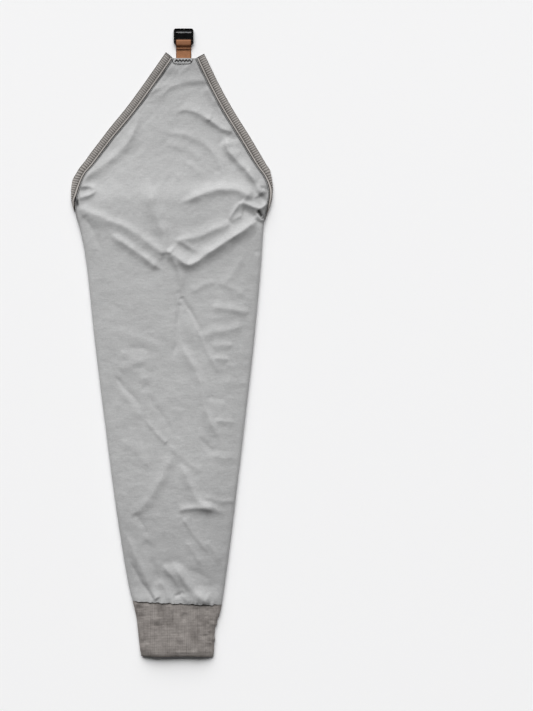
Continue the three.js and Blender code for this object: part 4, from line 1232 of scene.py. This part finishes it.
def glossy_black():
    r = Recipe("glossy black", SLIDE_BLACK, 0.22)
    where, _ = r.place()
    haze = r.clouds(where, 5, 3.0)
    r.feed("Base Color", r.blend(haze, SLIDE_BLACK, SLIDE_HAZE))
    r.feed("Roughness", 0.14 + haze * 0.14)
    r.feed("Specular IOR Level", 0.13)
    r.feed("Normal", r.raise_surface(r.clouds(where, 0.9, 2.0), 0.012))
    return r.material


def sewing_thread(name, colour):
    r = Recipe(name, colour, 0.6)
    where, _ = r.place()
    twist = r.clouds(where, 0.5, 1.0)
    r.feed("Base Color", r.blend(twist, colour, tuple(0.7 * c for c in colour)))
    return r.material


def table_top():
    r = Recipe("pale table", TABLE_PALE, 0.9)
    r.feed("Specular IOR Level", 0.0)
    return r.material


def finish_with(piece, material):
    piece.data.materials.clear()
    piece.data.materials.append(material)
    return piece


def stitch_tree():
    """A node tree that lays one small thread bead at even steps along the curve of an object's edges."""
    tree = bpy.data.node_groups.new("even stitches", "GeometryNodeTree")
    tree.interface.new_socket("Line", in_out="INPUT", socket_type="NodeSocketGeometry")
    sockets = {}
    kinds = {"Step": "Float", "Length": "Float", "Thickness": "Float", "Thread": "Material"}
    for title, kind in kinds.items():
        made = tree.interface.new_socket(title, in_out="INPUT", socket_type="NodeSocket" + kind)
        sockets[title] = made.identifier
    tree.interface.new_socket("Stitches", in_out="OUTPUT", socket_type="NodeSocketGeometry")
    given = tree.nodes.new("NodeGroupInput")
    curve = tree.nodes.new("GeometryNodeMeshToCurve")
    even = tree.nodes.new("GeometryNodeResampleCurve")
    even.mode = "LENGTH"
    bead = tree.nodes.new("GeometryNodeMeshUVSphere")
    bead.inputs["Segments"].default_value = 6
    bead.inputs["Rings"].default_value = 4
    bead.inputs["Radius"].default_value = 0.5
    heading = tree.nodes.new("GeometryNodeInputTangent")
    turn = tree.nodes.new("FunctionNodeAlignRotationToVector")
    turn.axis = "X"
    size = tree.nodes.new("ShaderNodeCombineXYZ")
    place = tree.nodes.new("GeometryNodeInstanceOnPoints")
    real = tree.nodes.new("GeometryNodeRealizeInstances")
    paint = tree.nodes.new("GeometryNodeSetMaterial")
    result = tree.nodes.new("NodeGroupOutput")
    for source, sink in (
        (given.outputs["Line"], curve.inputs["Mesh"]),
        (curve.outputs["Curve"], even.inputs["Curve"]),
        (given.outputs["Step"], even.inputs["Length"]),
        (even.outputs["Curve"], place.inputs["Points"]),
        (bead.outputs["Mesh"], place.inputs["Instance"]),
        (heading.outputs["Tangent"], turn.inputs["Vector"]),
        (turn.outputs["Rotation"], place.inputs["Rotation"]),
        (given.outputs["Length"], size.inputs["X"]),
        (given.outputs["Thickness"], size.inputs["Y"]),
        (given.outputs["Thickness"], size.inputs["Z"]),
        (size.outputs["Vector"], place.inputs["Scale"]),
        (place.outputs["Instances"], real.inputs["Geometry"]),
        (real.outputs["Geometry"], paint.inputs["Geometry"]),
        (given.outputs["Thread"], paint.inputs["Material"]),
        (paint.outputs["Geometry"], result.inputs["Stitches"]),
    ):
        tree.links.new(source, sink)
    return tree, sockets


STITCH_TREE, STITCH_SOCKETS = stitch_tree()


def stitches(name, lines, step, length, thickness, thread):
    """Stitches along lines given in millimetres in the sleeve's own frame."""
    points, edges = [], []
    for line in lines:
        first = len(points)
        points.extend(line)
        edges.extend((first + i, first + i + 1) for i in range(len(line) - 1))
    mesh = bpy.data.meshes.new(name)
    mesh.from_pydata(((np.array(points) + np.array([0, SEAM_Y, 0])) * MM).tolist(), edges, [])
    piece = bpy.data.objects.new(name, mesh)
    bpy.context.scene.collection.objects.link(piece)
    sew = piece.modifiers.new("stitches", "NODES")
    sew.node_group = STITCH_TREE
    for title, value in (("Step", step), ("Length", length), ("Thickness", thickness)):
        sew[STITCH_SOCKETS[title]] = value * MM
    sew[STITCH_SOCKETS["Thread"]] = thread
    return baked(piece)


def rest_on(flat, lift):
    """A line in the sleeve's own frame, laid on the sleeve's face."""
    hits = []
    for x, y in flat:
        found, spot, _, _ = sleeve.ray_cast(Vector((x * MM, (y + SEAM_Y) * MM, 0.1)), Vector((0, 0, -1)))
        hits.append((x, y, (spot.z / MM if found else 3.0) + lift))
    return np.array(hits)


def on_cloth(line, lift):
    """A line on squared paper, laid on the sleeve's face."""
    return rest_on(through_points([at(*p) for p in line], 8), lift)


finish_with(sleeve, woven_cloth())
finish_with(band, ribbed_elastic())
finish_with(knit_cuff, fine_knit())
finish_with(strap, brown_webbing())
finish_with(slide, glossy_black())

thread_dark = sewing_thread("dark thread", THREAD_DARK)
thread_brown = sewing_thread("brown thread", THREAD_BROWN)

# Hem at the cap's point: a thick scalloped line with a finer one boxed round it, in squares
SCALLOPS_LEFT = 175.0
SCALLOPS_DOWN = 60.3
SCALLOPS_ACROSS = 16.0
SCALLOP_PITCH = 3.2
SCALLOP_DEPTH = 0.75
scallops = [
    (SCALLOPS_LEFT + run, SCALLOPS_DOWN + SCALLOP_DEPTH * math.cos(run * 2 * math.pi / SCALLOP_PITCH))
    for run in np.linspace(0, SCALLOPS_ACROSS, 65)
]
box_line = [
    (172.1, 60.2), (173.3, 62.6), (175.3, 63.6), (180, 63.9), (186, 63.8), (189.7, 63.5), (191.9, 61.4),
    (193, 59),
]
hem_sewing = stitches("hem_sewing", [on_cloth(scallops, 0.35)], 0.8, 1.5, 1.5, thread_dark)
box_sewing = stitches("box_sewing", [on_cloth(box_line, 0.2)], 1.1, 1.3, 1.0, thread_dark)

# Seam by the band: fine stitches along the cloth's edge
sewn_lines = []
for line, inward in zip(armhole_edges(), (1, -1)):
    sewn_lines.append(rest_on(evenly(line, 260)[4:-2] + np.array([0.95 * inward, -0.4]), 0.05))
edge_sewing = stitches("edge_sewing", sewn_lines, 1.9, 1.8, 0.75, thread_dark)

# Strap: two rows across its sewn end
ROW_POINTS = 12
across_strap = np.linspace(-0.9, 0.9, ROW_POINTS) * STRAP_WIDTH / 2 + STRAP_OFFSET
thread_height = np.full(ROW_POINTS, 2 * STRAP_THICKNESS + 0.12)
strap_lines = [
    np.column_stack([across_strap, np.full(ROW_POINTS, TURNED_END + in_from_end), thread_height])
    for in_from_end in (1.1, 2.5)
]
strap_sewing = stitches("strap_sewing", strap_lines, 1.6, 1.2, 0.4, thread_brown)

# Camera, light and table, in metres
CAMERA_HEIGHT = 2.5
FOCUS_HEIGHT = 0.004
SENSOR = 36.0
SPREAD = 6.0
TABLE_DROP = 0.0002
camera_data = bpy.data.cameras.new("camera")
camera_data.sensor_width = SENSOR
camera_data.lens = SENSOR * (CAMERA_HEIGHT - FOCUS_HEIGHT) / (PAPER_HEIGHT * SQUARE * MM)
camera = bpy.data.objects.new("camera", camera_data)
camera.location = (
    (PAPER_WIDTH / 2 - GRID_X) * SQUARE * MM, (GRID_Y - PAPER_HEIGHT / 2) * SQUARE * MM, CAMERA_HEIGHT,
)
bpy.context.scene.collection.objects.link(camera)
bpy.context.scene.camera = camera
bpy.context.scene.view_settings.view_transform = "Standard"

floor_mesh = bpy.data.meshes.new("table_top")
table_corners = [(x * SPREAD, y * SPREAD, -TABLE_DROP) for x, y in ((-1, -1), (1, -1), (1, 1), (-1, 1))]
floor_mesh.from_pydata(table_corners, [], [(0, 1, 2, 3)])
floor = bpy.data.objects.new("table_top", floor_mesh)
bpy.context.scene.collection.objects.link(floor)
finish_with(floor, table_top())


def studio_world(low, high):
    """A sky that brightens evenly from the horizon to overhead."""
    world = bpy.data.worlds.new("studio")
    world.use_nodes = True
    tree = world.node_tree
    way = tree.nodes.new("ShaderNodeTexCoord")
    parts = tree.nodes.new("ShaderNodeSeparateXYZ")
    tree.links.new(way.outputs["Generated"], parts.inputs["Vector"])
    spread = tree.nodes.new("ShaderNodeMapRange")
    spread.inputs["From Min"].default_value = 0.0
    spread.inputs["From Max"].default_value = 1.0
    spread.inputs["To Min"].default_value = low
    spread.inputs["To Max"].default_value = high
    tree.links.new(parts.outputs["Z"], spread.inputs["Value"])
    tree.links.new(spread.outputs["Result"], tree.nodes["Background"].inputs["Strength"])
    bpy.context.scene.world = world


def soft_light(name, width, length, place, aim, watts):
    data = bpy.data.lights.new(name, "AREA")
    data.shape = "RECTANGLE"
    data.size, data.size_y = width, length
    data.energy = watts
    lamp = bpy.data.objects.new(name, data)
    lamp.location = place
    lamp.rotation_euler = (Vector(aim) - Vector(place)).to_track_quat("-Z", "Y").to_euler()
    bpy.context.scene.collection.objects.link(lamp)
    return lamp


studio_world(low=1.1, high=1.86)
soft_light("window", width=60.0, length=46.0, place=(-4.0, 35.0, 28.0), aim=(0, 0, 0), watts=42600)

# What each piece stands for
for piece, node, slot in (
    (sleeve, "sleeve", "cloth"),
    (band, "armhole_band", "elastic"),
    (knit_cuff, "cuff", "knit"),
    (strap, "strap", "webbing"),
    (slide, "slide_buckle", "slide"),
    (hem_sewing, "sleeve", "cloth"),
    (box_sewing, "sleeve", "cloth"),
    (edge_sewing, "sleeve", "cloth"),
    (strap_sewing, "strap", "webbing"),
):
    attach(piece, "root")
    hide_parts(node)
